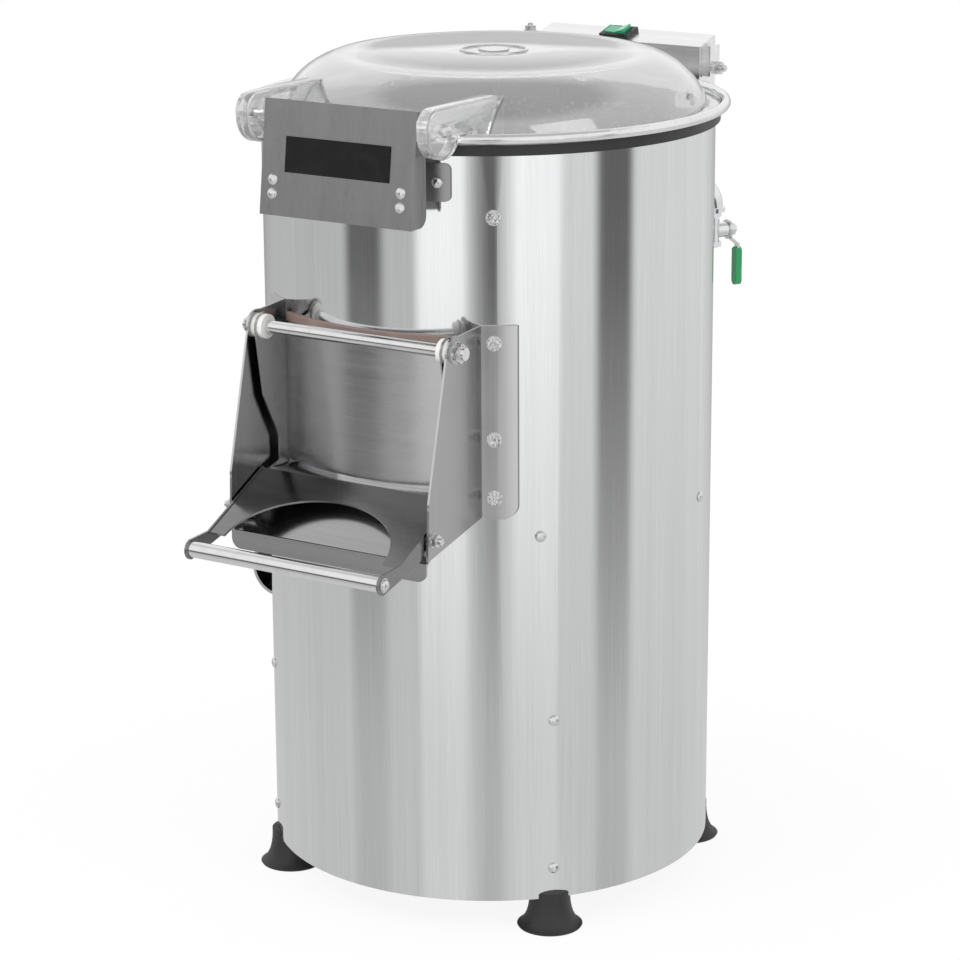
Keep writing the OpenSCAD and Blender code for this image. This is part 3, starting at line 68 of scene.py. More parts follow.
# The lid: wall, flange, the dome's distance from the drum's axis, its foot, its top and what is raised on it
LID_WALL = 0.003
LID_FLANGE_R = 0.203
LID_SHIFT = 0.010
LID_FOOT_R = 0.191
LID_PLATEAU_R = 0.104
LID_PLATEAU_H = 0.001
LID_TOP_R = 0.142
LID_BOSS_H = 0.0015
LID_RING_R = 0.030
LID_DISC_R = 0.0135
LID_RING_W = 0.002
LID_RAISED_SLOPE = 0.0006
LID_PLATEAU_SLOPE = 0.002
LID_TOP_EDGE = 0.012
LID_TOP_BEND = 0.006
LID_TOP_BEND_DROP = 0.0003
# The dome's curved side: where its curve is pulled to, how far its end lies below the top, and its steps
DOME_PULL_IN = 0.008
DOME_PULL_DOWN = 0.014
DOME_END_DROP = 0.001
DOME_STEPS = 36
# The hole in the flange, below and above the lid's foot
HOLLOW_BELOW = 0.01
HOLLOW_ABOVE = 0.008
# The boss on the lid's side: its turn to the right of the front, its place and its size
SIDE_BOSS_TURN = math.radians(100)
SIDE_BOSS_OUT = 0.183
SIDE_BOSS_RISE = 0.020
SIDE_BOSS_R = 0.007
SIDE_BOSS_LENGTH = 0.014
# The lid's hollow ears: their faces, and where they step over the rim's roll
EAR_IN = 0.084
EAR_OUT = 0.096
EAR_REACH = 0.0242
EAR_STEP_Y = -0.1775
EAR_STEP_Z = 0.7095
EAR_TOP = 0.019
EAR_RISE = 0.002
EAR_BACK = 0.015
EAR_ROUND = 0.017
EAR_ROUND_IN = 0.008
EAR_FLAT = 0.074
EAR_DROP = 0.003

# The studio that metal reflects, in degrees to the side of the camera: a dark gap where the camera
# stands, a strip lamp and then a dark flag on each side of it, the walls, and the room's dark back
LENS_WIDTH = 6
LAMP_PLACE = 24
LAMP_WIDTH = 20
LAMP_LEVEL = 1.2
FLAG_PLACE = 66
FLAG_WIDTH = 16
FLAG_LEVEL = 0.15
STRIP_EDGE = 5
LEFT_WALL_LEVEL = 0.6
RIGHT_WALL_LEVEL = 0.85
BACK_EDGE = 40
BACK_LEVEL = 0.3
# Lower down the pale floor washes the strips out
SKIRT_LEVEL = 0.7


# Settings -----------------------------------------------------------------------------------

def colour(name, text, value):
    return FloatVectorProperty(
        name=name, description=text, subtype="COLOR", size=3, min=0, max=1, default=value)


def length(name, text, value):
    return FloatProperty(name=name, description=text, unit="LENGTH", min=0, default=value)


def share(name, text, value):
    return FloatProperty(name=name, description=text, subtype="FACTOR", min=0, max=1, default=value)


class PeelerColours(bpy.types.PropertyGroup):
    steel: colour("Steel", "Brushed stainless sheet", (0.74, 0.745, 0.75))
    polished: colour("Polished steel", "Rim, tube and drain", (0.80, 0.80, 0.805))
    bracket: colour("Bracket", "Darker brushed sheet of the front bracket", (0.34, 0.34, 0.345))
    # Painted shade: the cheeks' side faces get this darker grey, while the flanges of the same sheet take a
    # lighter one.
    cheek_painted_shade: colour("Chute", "Cheeks of the chute", (0.46, 0.46, 0.465))
    box: colour("Control box", "Sheet of the control box", (0.90, 0.90, 0.905))
    # Painted shade by facing: the lighter grey for the faces of the cheek sheet that look along Y.
    flange: colour("Chute flanges", "Flanges of the cheeks on the body", (0.62, 0.62, 0.625))
    # Tray and lever: the steel's grey darkened, as painted shade under the chute.
    tray: colour("Tray", "Tray of the chute", (0.52, 0.52, 0.525))
    # Door: the steel's grey darkened, as painted shade from the chute that hangs over the door.
    door: colour("Door", "Sheet of the outlet's door", (0.46, 0.46, 0.465))
    lever: colour("Lever", "Sheet of the latch lever", (0.27, 0.27, 0.275))
    zinc: colour("Fasteners", "Plated bolts, nuts and screws", (0.74, 0.74, 0.745))
    chrome: colour("Chrome", "Water elbow and valve", (0.82, 0.83, 0.84))
    brass: colour("Brass", "Hose tail", (0.74, 0.50, 0.19))
    rubber: colour("Rubber", "Feet, band and seals", (0.018, 0.018, 0.019))
    silicone: colour("Outlet trim", "Soft trim round the outlet", (0.27, 0.195, 0.17))
    lid: colour("Lid", "Clear moulding", (0.985, 0.99, 0.99))
    nylon: colour("Nylon", "White bushes", (0.80, 0.80, 0.78))
    black: colour("Black plastic", "Bezel, gland and plate", (0.010, 0.010, 0.011))
    green: colour("Rocker", "Green rocker", (0.02, 0.36, 0.17))
    vinyl: colour("Sleeve", "Green sleeve of the valve's lever", (0.01, 0.33, 0.10))
    paint: colour("Motor paint", "Satin paint of the motor", (0.11, 0.14, 0.17))
    cast: colour("Castings", "Bearing housing and pulleys", (0.16, 0.165, 0.17))
    grit: colour("Abrasive", "Lining and disc", (0.028, 0.028, 0.030))


class PeelerSizes(bpy.types.PropertyGroup):
    brush_pitch: length("Brush pitch", "Distance between the brush lines of the sheet", 0.0011)
    grit_pitch: length("Grit pitch", "Size of the abrasive's grains", 0.0028)
    floor_radius: length("Floor", "Radius of the studio floor", 0.60)
    marks: share("Marks", "Strength of the handling marks on metal", 0.35)
    shadow: share("Floor shadow", "Share of the floor's white that takes the shadow", 0.10)


# Node helpers ---------------------------------------------------------------------------------

def add(tree, kind, inputs=None, **settings):
    """A node of this kind, with values or links for its inputs."""
    node = tree.nodes.new(kind)
    for name, value in settings.items():
        setattr(node, name, value)
    for name, value in (inputs or {}).items():
        if isinstance(value, bpy.types.NodeSocket):
            tree.links.new(value, node.inputs[name])
        else:
            node.inputs[name].default_value = value
    return node


def maths(tree, operation, a, b=0.0):
    return add(tree, "ShaderNodeMath", {0: a, 1: b}, operation=operation).outputs[0]


def spread(tree, value, low, high, to_low, to_high):
    """The value, moved from one range to another and held inside it."""
    node = add(tree, "ShaderNodeMapRange", {
        "Value": value, "From Min": low, "From Max": high, "To Min": to_low, "To Max": to_high})
    return node.outputs["Result"]


def tint(tree, mask, dark, light):
    """A colour between two, by a mask."""
    node = add(tree, "ShaderNodeMix", data_type="RGBA")
    tree.links.new(mask, node.inputs[0])
    node.inputs[6].default_value = (*dark, 1)
    node.inputs[7].default_value = (*light, 1)
    return node.outputs[2]


def group(name, inputs, outputs):
    """A new shader node group, with its own ends."""
    tree = bpy.data.node_groups.new(name, "ShaderNodeTree")
    for label, kind, value in inputs:
        socket = tree.interface.new_socket(name=label, in_out="INPUT", socket_type=kind)
        socket.default_value = value
    for label in outputs:
        tree.interface.new_socket(name=label, in_out="OUTPUT", socket_type="NodeSocketFloat")
    start = tree.nodes.new("NodeGroupInput")
    end = tree.nodes.new("NodeGroupOutput")
    return tree, start, end


def brush_lines():
    """Group: long fine lines along one direction, and the broad bands that they gather in."""
    name = "Brush lines"
    if name in bpy.data.node_groups:
        return bpy.data.node_groups[name]
    tree, start, end = group(name, (
        ("Stretch", "NodeSocketVector", (1, 1, 1)),
        ("Lines per metre", "NodeSocketFloat", 900),
    ), ("Lines", "Bands"))
    place = add(tree, "ShaderNodeTexCoord").outputs["Object"]
    drawn = add(tree, "ShaderNodeVectorMath", {0: place, 1: start.outputs[0]}, operation="MULTIPLY")
    fine = add(tree, "ShaderNodeTexNoise", {
        "Vector": drawn.outputs[0], "Scale": start.outputs[1], "Detail": 3.0, "Roughness": 0.65})
    wide = maths(tree, "MULTIPLY", start.outputs[1], 0.09)
    broad = add(tree, "ShaderNodeTexNoise", {
        "Vector": drawn.outputs[0], "Scale": wide, "Detail": 4.0, "Roughness": 0.6})
    tree.links.new(spread(tree, fine.outputs[0], 0.28, 0.72, 0, 1), end.inputs[0])
    tree.links.new(spread(tree, broad.outputs[0], 0.32, 0.68, 0, 1), end.inputs[1])
    return tree


def handling_marks():
    """Group: soft smudges."""
    name = "Handling marks"
    if name in bpy.data.node_groups:
        return bpy.data.node_groups[name]
    tree, start, end = group(name, (("Marks per metre", "NodeSocketFloat", 14),), ("Smudges",))
    place = add(tree, "ShaderNodeTexCoord").outputs["Object"]
    soft = add(tree, "ShaderNodeTexNoise", {
        "Vector": place, "Scale": start.outputs[0], "Detail": 5.0, "Roughness": 0.55, "Distortion": 0.6})
    tree.links.new(spread(tree, soft.outputs[0], 0.48, 0.70, 0, 1), end.inputs[0])
    return tree


def fine_grain():
    """Group: the pitted or grainy skin of castings, rubber, plastic and grit."""
    name = "Fine grain"
    if name in bpy.data.node_groups:
        return bpy.data.node_groups[name]
    tree, start, end = group(name, (("Grains per metre", "NodeSocketFloat", 700),), ("Grains", "Glints"))
    place = add(tree, "ShaderNodeTexCoord").outputs["Object"]
    cells = add(tree, "ShaderNodeTexVoronoi", {"Vector": place, "Scale": start.outputs[0]})
    noise = add(tree, "ShaderNodeTexNoise", {"Vector": place, "Scale": start.outputs[0], "Detail": 2.0})
    both = maths(tree, "ADD", maths(tree, "MULTIPLY", cells.outputs["Distance"], 0.6),
                 maths(tree, "MULTIPLY", noise.outputs[0], 0.5))
    tree.links.new(both, end.inputs[0])
    shade = add(tree, "ShaderNodeSeparateColor", {0: cells.outputs["Color"]})
    tree.links.new(spread(tree, shade.outputs[0], 0.86, 0.98, 0, 1), end.inputs[1])
    return tree


def placed_group(tree, made, **values):
    """The group as a node, with its inputs set by their names."""
    node = add(tree, "ShaderNodeGroup", node_tree=made)
    for name, value in values.items():
        node.inputs[name.replace("_", " ")].default_value = value
    return node


def blank(name):
    """A new material with only a Principled shader, which is returned with its tree."""
    material = bpy.data.materials.new(name)
    material.use_nodes = True
    tree = material.node_tree
    tree.nodes.clear()
    shader = add(tree, "ShaderNodeBsdfPrincipled")
    add(tree, "ShaderNodeOutputMaterial", {"Surface": shader.outputs[0]})
    return material, tree, shader


def feed(tree, shader, **links):
    """Links or sets the shader's inputs by their names."""
    for name, value in links.items():
        socket = shader.inputs[name.replace("_", " ")]
        if isinstance(value, bpy.types.NodeSocket):
            tree.links.new(value, socket)
        else:
            socket.default_value = value


def raised(tree, height, strength, distance):
    node = add(tree, "ShaderNodeBump", {"Height": height, "Strength": strength, "Distance": distance})
    return node.outputs[0]


# Finishes --------------------------------------------------------------------------------------

def painted_shade_by_facing(tree, shade, flange):
    """The colour, with the flange's lighter grey on faces that look along Y: painted shade by facing, so the
    other faces of the same sheet stay darker.
    """
    normal = add(tree, "ShaderNodeNewGeometry").outputs["True Normal"]
    facing = add(tree, "ShaderNodeSeparateXYZ", {0: normal})
    mask = spread(tree, maths(tree, "ABSOLUTE", facing.outputs["Y"]), 0.5, 0.7, 0, 1)
    node = add(tree, "ShaderNodeMix", {0: mask}, data_type="RGBA")
    tree.links.new(shade, node.inputs[6])
    node.inputs[7].default_value = (*flange, 1)
    return node.outputs[2]


def brushed(name, base, stretch, pitch, rough, marks, line_depth=0.00002, flange=None):
    """Sheet brushed along the direction in which stretch is small. Where a flange colour is given, faces
    that look along Y take it and the rest keep the darker base: painted shade by facing."""
    material, tree, shader = blank(name)
    lines = placed_group(tree, brush_lines(), Stretch=stretch, Lines_per_metre=1 / pitch)
    hand = placed_group(tree, handling_marks(), Marks_per_metre=13)
    worn = maths(tree, "MULTIPLY", hand.outputs["Smudges"], marks)
    dark = [c * 0.90 for c in base]
    light = [min(1, c * 1.05) for c in base]
    both = maths(tree, "ADD", maths(tree, "MULTIPLY", lines.outputs["Lines"], 0.5),
                 maths(tree, "MULTIPLY", lines.outputs["Bands"], 0.5))
    gloss = spread(tree, both, 0, 1, rough * 0.82, rough * 1.22)
    gloss = maths(tree, "ADD", gloss, maths(tree, "MULTIPLY", worn, 0.10))
    shade = tint(tree, both, dark, light)
    # Painted shade: faces that look along Y take the flange's grey, and the other faces keep the sheet's
    # darker grey.
    if flange:
        shade = painted_shade_by_facing(tree, shade, flange)
    feed(tree, shader, Base_Color=shade, Metallic=1.0, Roughness=gloss,
         Normal=raised(tree, both, 0.35, line_depth))
    return material


def turned_metal(name, base, rough, pitch=0.0016, depth=0.000006):
    """Machined or plated metal with faint marks of the tool."""
    material, tree, shader = blank(name)
    hand = placed_group(tree, handling_marks(), Marks_per_metre=60)
    skin = placed_group(tree, fine_grain(), Grains_per_metre=1 / pitch)
    shade = maths(tree, "ADD", maths(tree, "MULTIPLY", hand.outputs["Smudges"], 0.6),
                  maths(tree, "MULTIPLY", skin.outputs["Grains"], 0.4))
    gloss = spread(tree, shade, 0, 1, rough * 0.8, rough * 1.5)
    feed(tree, shader, Base_Color=tint(tree, shade, base, [c * 0.86 for c in base]), Metallic=1.0,
         Roughness=gloss, Normal=raised(tree, skin.outputs["Grains"], 1.0, depth))
    return material


def moulded(name, base, rough, pitch, depth, coat=0.0, shine=0.5):
    """Plastic, rubber or paint with a fine skin."""
    material, tree, shader = blank(name)
    skin = placed_group(tree, fine_grain(), Grains_per_metre=1 / pitch)
    hand = placed_group(tree, handling_marks(), Marks_per_metre=40)
    lighter = [min(1, c * 1.25 + 0.004) for c in base]
    feed(tree, shader, Base_Color=tint(tree, hand.outputs["Smudges"], base, lighter),
         Roughness=spread(tree, hand.outputs["Smudges"], 0, 1, rough, min(1, rough * 1.25)),
         Normal=raised(tree, skin.outputs["Grains"], 0.3, depth))
    shader.inputs["Specular IOR Level"].default_value = shine
    shader.inputs["Coat Weight"].default_value = coat
    shader.inputs["Coat Roughness"].default_value = 0.12
    return material


def abrasive(name, base, pitch):
    """Grit bonded to sheet: dark grains with a few that glint."""
    material, tree, shader = blank(name)
    skin = placed_group(tree, fine_grain(), Grains_per_metre=1 / pitch)
    glint = skin.outputs["Glints"]
    feed(tree, shader, Base_Color=tint(tree, glint, base, (0.22, 0.22, 0.225)),
         Roughness=spread(tree, glint, 0, 1, 0.85, 0.22),
         Normal=raised(tree, skin.outputs["Grains"], 0.9, pitch * 0.5))
    return material


def clear(name, base):
    """Clear moulding, faintly milky and uneven, with a few rubbed places."""
    material, tree, shader = blank(name)
    hand = placed_group(tree, handling_marks(), Marks_per_metre=9)
    flow = add(tree, "ShaderNodeTexNoise", {"Scale": 22.0, "Detail": 2.0})
    tree.links.new(add(tree, "ShaderNodeTexCoord").outputs["Object"], flow.inputs["Vector"])
    feed(tree, shader, Base_Color=(*base, 1), Metallic=0.0, IOR=1.49, Transmission_Weight=0.87,
         Roughness=spread(tree, hand.outputs["Smudges"], 0, 1, 0.015, 0.07),
         Normal=raised(tree, flow.outputs[0], 0.25, 0.0012))
    shader.inputs["Specular IOR Level"].default_value = 0.8
    shader.inputs["Coat Weight"].default_value = 1.0
    shader.inputs["Coat IOR"].default_value = 2.3
    shader.inputs["Coat Roughness"].default_value = 0.02
    return material


def dress(nodes, material):
    """Puts the material on every slot of these CAD nodes."""
    for name in nodes:
        piece = frame["nodes"][name]
        if not piece.material_slots:
            piece.data.materials.append(material)
        for slot in piece.material_slots:
            slot.material = material


UPRIGHT = (1, 1, 0.012)
LEVEL = (0.012, 1, 1)


# Shapes ------------------------------------------------------------------------------------------

def drum_axis():
    """Place of the drum's upright axis."""
    low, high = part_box("rim_ring")
    return Vector(((low[0] + high[0]) / 2, (low[1] + high[1]) / 2, 0))


def made_object(context, name, mesh):
    piece = bpy.data.objects.new(name, mesh)
    context.collection.objects.link(piece)
    return piece


def from_bmesh(context, name, work):
    """An object from the working mesh, with its faces turned outwards."""
    bmesh.ops.recalc_face_normals(work, faces=work.faces)
    mesh = bpy.data.meshes.new(name)
    work.to_mesh(mesh)
    work.free()
    return made_object(context, name, mesh)


def lathe(context, name, section, count=160):
    """The closed section, given as radius and height, turned round the upright axis."""
    work = bmesh.new()
    rows = []
    for radius, height in section:
        if radius == 0:
            rows.append([work.verts.new((0, 0, height))])
            continue
        rows.append([work.verts.new((
            radius * math.cos(2 * math.pi * i / count), radius * math.sin(2 * math.pi * i / count), height))
            for i in range(count)])
    for one, two in zip(rows, rows[1:] + rows[:1]):
        for i in range(count):
            j = (i + 1) % count
            corners = [one[i % len(one)], one[j % len(one)], two[j % len(two)], two[i % len(two)]]
            corners = list(dict.fromkeys(corners))
            if len(corners) > 2:
                work.faces.new(corners)
    return from_bmesh(context, name, work)


def arc_points(middle, radius, start, end, count):
    """Points of an arc in a plane, with its angles in degrees."""
    angles = [math.radians(start + (end - start) * i / count) for i in range(count + 1)]
    return [(middle[0] + radius * math.cos(a), middle[1] + radius * math.sin(a)) for a in angles]


def settle(context, piece):
    """Applies the piece's modifiers."""
    graph = context.evaluated_depsgraph_get()
    mesh = bpy.data.meshes.new_from_object(piece.evaluated_get(graph))
    piece.modifiers.clear()
    piece.data = mesh


def soften(context, piece, width, segments=2, angle=40):
    """Rounds the piece's sharp edges."""
    round_off = piece.modifiers.new("Round", "BEVEL")
    round_off.width = width
    round_off.segments = segments
    round_off.limit_method = "ANGLE"
    round_off.angle_limit = math.radians(angle)
    settle(context, piece)


def join(context, piece, others, way="UNION"):
    """Makes one closed skin of the piece and the others, or takes them out of it."""
    for other in others:
        joined = piece.modifiers.new("Join", "BOOLEAN")
        joined.operation = way
        joined.solver = "EXACT"
        joined.object = other
        settle(context, piece)
        bpy.data.objects.remove(other)


def smooth(piece, angle=32):
    piece.data.shade_smooth()
    piece.data.set_sharp_from_angle(angle=math.radians(angle))


def dome_section(foot, top):
    """Section of the lid's dome: side, plateau and bosses outside, then back along the inside."""
    def side(inset):
        start, end = (LID_FOOT_R - inset, foot), (LID_TOP_R - inset / 3, top - DOME_END_DROP - inset)
        pull = (LID_FOOT_R - inset - DOME_PULL_IN, top - DOME_PULL_DOWN - inset)
        steps = [i / DOME_STEPS for i in range(DOME_STEPS + 1)]
        return [tuple((1 - t) ** 2 * a + 2 * t * (1 - t) * b + t * t * c
                      for a, b, c in zip(start, pull, end)) for t in steps]
    outer = side(0)
    plateau = top + LID_PLATEAU_H
    raised_top = plateau + LID_BOSS_H
    ring_inside = LID_RING_R - LID_RING_W
    bosses = [(LID_TOP_R - LID_TOP_BEND, top - LID_TOP_BEND_DROP), (LID_TOP_R - LID_TOP_EDGE, top),
              (LID_PLATEAU_R + LID_PLATEAU_SLOPE, top), (LID_PLATEAU_R, plateau),
              (LID_RING_R + LID_RAISED_SLOPE, plateau), (LID_RING_R, raised_top),
              (ring_inside, raised_top), (ring_inside - LID_RAISED_SLOPE, plateau),
              (LID_DISC_R + LID_RAISED_SLOPE, plateau), (LID_DISC_R, raised_top), (0, raised_top)]
    inner = [(0, top - LID_WALL), (LID_TOP_R - LID_TOP_EDGE, top - LID_WALL)] + side(LID_WALL)[::-1]
    return outer + bosses + inner


def flange_section(foot):
    """Section of the lid's flange, inwards to the dome's wall."""
    edge, lower, upper = 0.0008, foot + 0.0001, foot + LID_WALL
    inside = LID_FOOT_R - LID_SHIFT - LID_WALL / 2
    return [(inside, lower), (LID_FLANGE_R - edge, lower), (LID_FLANGE_R, lower + edge),
            (LID_FLANGE_R, upper - edge), (LID_FLANGE_R - edge, upper), (inside, upper)]


def ear_outline(pivot, foot, inset):
    """Outline of a lid ear in the plane of Y and Z, moved inwards by inset."""
    low, step_z, reach = foot + EAR_RISE + inset, EAR_STEP_Z + inset, EAR_REACH - inset
    top, back = pivot[1] + EAR_TOP - inset, -LID_TOP_R + EAR_BACK - inset
    start = math.degrees(math.asin((step_z - pivot[1]) / reach))
    return (arc_points(pivot, reach, start, -172, 28)
            + arc_points((pivot[0] - EAR_ROUND_IN, top - EAR_ROUND + inset), EAR_ROUND - inset, 175, 95, 12)
            + [(pivot[0] + EAR_FLAT, top), (back, top - EAR_DROP), (back, low),
               (EAR_STEP_Y + inset, low), (EAR_STEP_Y + inset, step_z)])


def lid_ear(context, side, pivot, foot):
    """Hollow ear, open towards the middle, on one side of the lid."""
    work = bmesh.new()
    outline, pocket = ear_outline(pivot, foot, 0), ear_outline(pivot, foot, LID_WALL)

    def loop(points, x):
        return [work.verts.new((side * x, y, z)) for y, z in points]

    loops = [loop(outline, EAR_OUT), loop(outline, EAR_IN), loop(pocket, EAR_IN),
             loop(pocket, EAR_OUT - LID_WALL)]
    for one, two in zip(loops, loops[1:]):
        for i in range(len(one)):
            j = (i + 1) % len(one)
            work.faces.new((one[i], one[j], two[j], two[i]))
    work.faces.new(loops[0])
    work.faces.new(loops[3])
    ear = from_bmesh(context, "Ear", work)
    soften(context, ear, 0.0009)
    return ear


def lid_boss(context, place, turned, radius, height):
    """Short post along the direction in which it is turned."""
    post = lathe(context, "Post", [(radius, 0), (radius, height - 0.0006), (radius - 0.0006, height),
                                   (0, height), (0, 0)], 40)
    post.data.transform(Matrix.Translation(place) @ turned)
    return post


# Operators -------------------------------------------------------------------------------------

class PEELER_OT_body(bpy.types.Operator):
    """Finish the drum's body and its rim"""
    bl_idname = "peeler.body"
    bl_label = "Body and rim"

    def execute(self, context):
        c, s = context.scene.peeler_colours, context.scene.peeler_sizes
        dress(["body_shell"],
              brushed("Body sheet", c.steel, UPRIGHT, s.brush_pitch, 0.075, s.marks, 0.000006))
        dress(["rim_ring"], brushed("Rim polish", c.polished, (1, 1, 1), 0.004, 0.045, s.marks))
        # Painted shadow: the black band under the rim stands for the shadow under the rim's roll.
        dress(["rim_seal"], moulded("Rim band painted shadow", c.rubber, 0.45, 0.0015, 0.00003))
        dress(["abrasive_lining"], abrasive("Lining grit", c.grit, s.grit_pitch))
        return {"FINISHED"}


class PEELER_OT_feet(bpy.types.Operator):
    """Finish the feet and the legs inside the body"""
    bl_idname = "peeler.feet"
    bl_label = "Feet"

    def execute(self, context):
        c, s = context.scene.peeler_colours, context.scene.peeler_sizes
        dress(["rubber_feet"], moulded("Foot rubber", c.rubber, 0.50, 0.0018, 0.00006))
        dress(["leg_brackets", "motor_plate"],
              brushed("Inner sheet", c.steel, UPRIGHT, s.brush_pitch, 0.30, s.marks))
        return {"FINISHED"}


class PEELER_OT_chute(bpy.types.Operator):
    """Finish the chute round the outlet"""
    bl_idname = "peeler.chute"
    bl_label = "Chute"

    def execute(self, context):
        c, s = context.scene.peeler_colours, context.scene.peeler_sizes
        # The cheek sheet's dark grey is painted shade on its side faces, and its flanges take a lighter grey
        # by facing.
        dress(["chute_side_left", "chute_side_right"],
              brushed("Cheek sheet painted shade", c.cheek_painted_shade, UPRIGHT, s.brush_pitch, 0.20, s.marks, 0.00001, c.flange))
        # The tray's darker grey is painted shade under the chute.
        dress(["chute_tray"], brushed("Tray sheet painted shade", c.tray, LEVEL, s.brush_pitch, 0.18, s.marks, 0.00001))
        dress(["outlet_seal"], moulded("Outlet trim", c.silicone, 0.42, 0.0020, 0.00003))
        return {"FINISHED"}


class PEELER_OT_door(bpy.types.Operator):
    """Finish the outlet's door, its rod and its bushes"""
    bl_idname = "peeler.door"
    bl_label = "Outlet door"

    def execute(self, context):
        c, s = context.scene.peeler_colours, context.scene.peeler_sizes
        # The door's darker grey is painted shade from the chute above it.
        dress(["outlet_door"], brushed("Door sheet painted shade", c.door, LEVEL, s.brush_pitch, 0.22, s.marks))
        dress(["door_rod"], turned_metal("Rod", c.polished, 0.14))
        dress(["door_bushes"], moulded("Bush nylon", c.nylon, 0.38, 0.0012, 0.00002))
        return {"FINISHED"}


class PEELER_OT_latch(bpy.types.Operator):
    """Finish the latch lever and its tube"""
    bl_idname = "peeler.latch"
    bl_label = "Latch lever"

    def execute(self, context):
        c, s = context.scene.peeler_colours, context.scene.peeler_sizes
        # The lever's dark grey is painted shade under the chute.
        dress(["latch_lever"],
              brushed("Lever sheet painted shade", c.lever, LEVEL, s.brush_pitch, 0.18, s.marks, 0.00001))
        dress(["lever_tube"], turned_metal("Lever tube", c.polished, 0.10))
        return {"FINISHED"}


class PEELER_OT_bracket(bpy.types.Operator):
    """Finish the front bracket and its bare plate"""
    bl_idname = "peeler.bracket"
    bl_label = "Front bracket"

    def execute(self, context):
        c, s = context.scene.peeler_colours, context.scene.peeler_sizes
        dress(["hinge_bracket"],
              brushed("Bracket sheet", c.bracket, UPRIGHT, s.brush_pitch, 0.30, 0.1, 0.000004))
        dress(["name_plate"], moulded("Bare plate", c.black, 0.50, 0.0010, 0.00001, 0.0, 0.15))
        return {"FINISHED"}


class PEELER_OT_lid(bpy.types.Operator):
    """Mould the clear lid with its ears and bosses"""
    bl_idname = "peeler.lid"
    bl_label = "Lid"

    def execute(self, context):
        axis = drum_axis()
        low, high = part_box("lid")
        hinge = next(j for j in frame["record"]["behaviour"]["joints"] if j["name"] == "lid_hinge")
        pivot = (hinge["pos_m"][1] - axis.y, hinge["pos_m"][2])
        foot, top = low[2], high[2] - LID_BOSS_H - LID_PLATEAU_H
        shift = Matrix.Translation((0, LID_SHIFT, 0))
        lid = lathe(context, "Clear_lid", dome_section(foot, top))
        lid.data.transform(shift)
        flange = lathe(context, "Flange", flange_section(foot))
        inside, below, above = LID_FOOT_R - LID_WALL, foot - HOLLOW_BELOW, foot + HOLLOW_ABOVE
        hollow = lathe(context, "Hollow", [(inside, below), (inside, above), (0, above), (0, below)])
        hollow.data.transform(shift)
        join(context, flange, [hollow], "DIFFERENCE")
        ears = [lid_ear(context, side, pivot, foot) for side in (-1, 1)]
        round_about = Matrix.Rotation(SIDE_BOSS_TURN, 4, "Z")
        inwards = round_about @ Matrix.Rotation(math.radians(-90), 4, "X")
        place = round_about @ Vector((0, -SIDE_BOSS_OUT, foot + SIDE_BOSS_RISE))
        place.y += LID_SHIFT
        boss = lid_boss(context, place, inwards, SIDE_BOSS_R, SIDE_BOSS_LENGTH)
        join(context, lid, [flange, *ears, boss])
        lid.data.transform(Matrix.Translation(axis))
        smooth(lid)
        lid.data.materials.clear()
        lid.data.materials.append(clear("Lid moulding", context.scene.peeler_colours.lid))
        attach(lid, "lid")
        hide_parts("lid")
        return {"FINISHED"}


class PEELER_OT_controls(bpy.types.Operator):
    """Finish the control box, its rocker switch and its gland"""
    bl_idname = "peeler.controls"
    bl_label = "Control box"

    def execute(self, context):
        c, s = context.scene.peeler_colours, context.scene.peeler_sizes
        dress(["control_box", "box_back_cover", "box_bracket", "box_side_tabs"],
              brushed("Box sheet", c.box, LEVEL, s.brush_pitch, 0.24, s.marks))
        dress(["rocker_bezel", "cable_gland"], moulded("Black plastic", c.black, 0.38, 0.0010, 0.00003))
        dress(["rocker_button"], moulded("Rocker", c.green, 0.20, 0.0015, 0.00001, 0.6))
        return {"FINISHED"}


class PEELER_OT_water(bpy.types.Operator):
    """Finish the water elbow, the valve and the hose tail"""
    bl_idname = "peeler.water"
    bl_label = "Water valve"

    def execute(self, context):
        c = context.scene.peeler_colours
        dress(["water_elbow", "ball_valve"], turned_metal("Water chrome", c.chrome, 0.09))
        dress(["valve_lever"], turned_metal("Valve lever", c.zinc, 0.22))
        dress(["valve_sleeve"], moulded("Sleeve vinyl", c.vinyl, 0.30, 0.0012, 0.00002, 0.2))
        dress(["brass_inlet"], turned_metal("Brass", c.brass, 0.22))
        return {"FINISHED"}


class PEELER_OT_drain(bpy.types.Operator):
    """Finish the drain pipe and its seal"""
    bl_idname = "peeler.drain"
    bl_label = "Drain"

    def execute(self, context):
        c = context.scene.peeler_colours
        dress(["drain_elbow"], turned_metal("Drain pipe", c.polished, 0.16))
        dress(["drain_seal"], moulded("Drain rubber", c.rubber, 0.5, 0.0015, 0.00003))
        return {"FINISHED"}


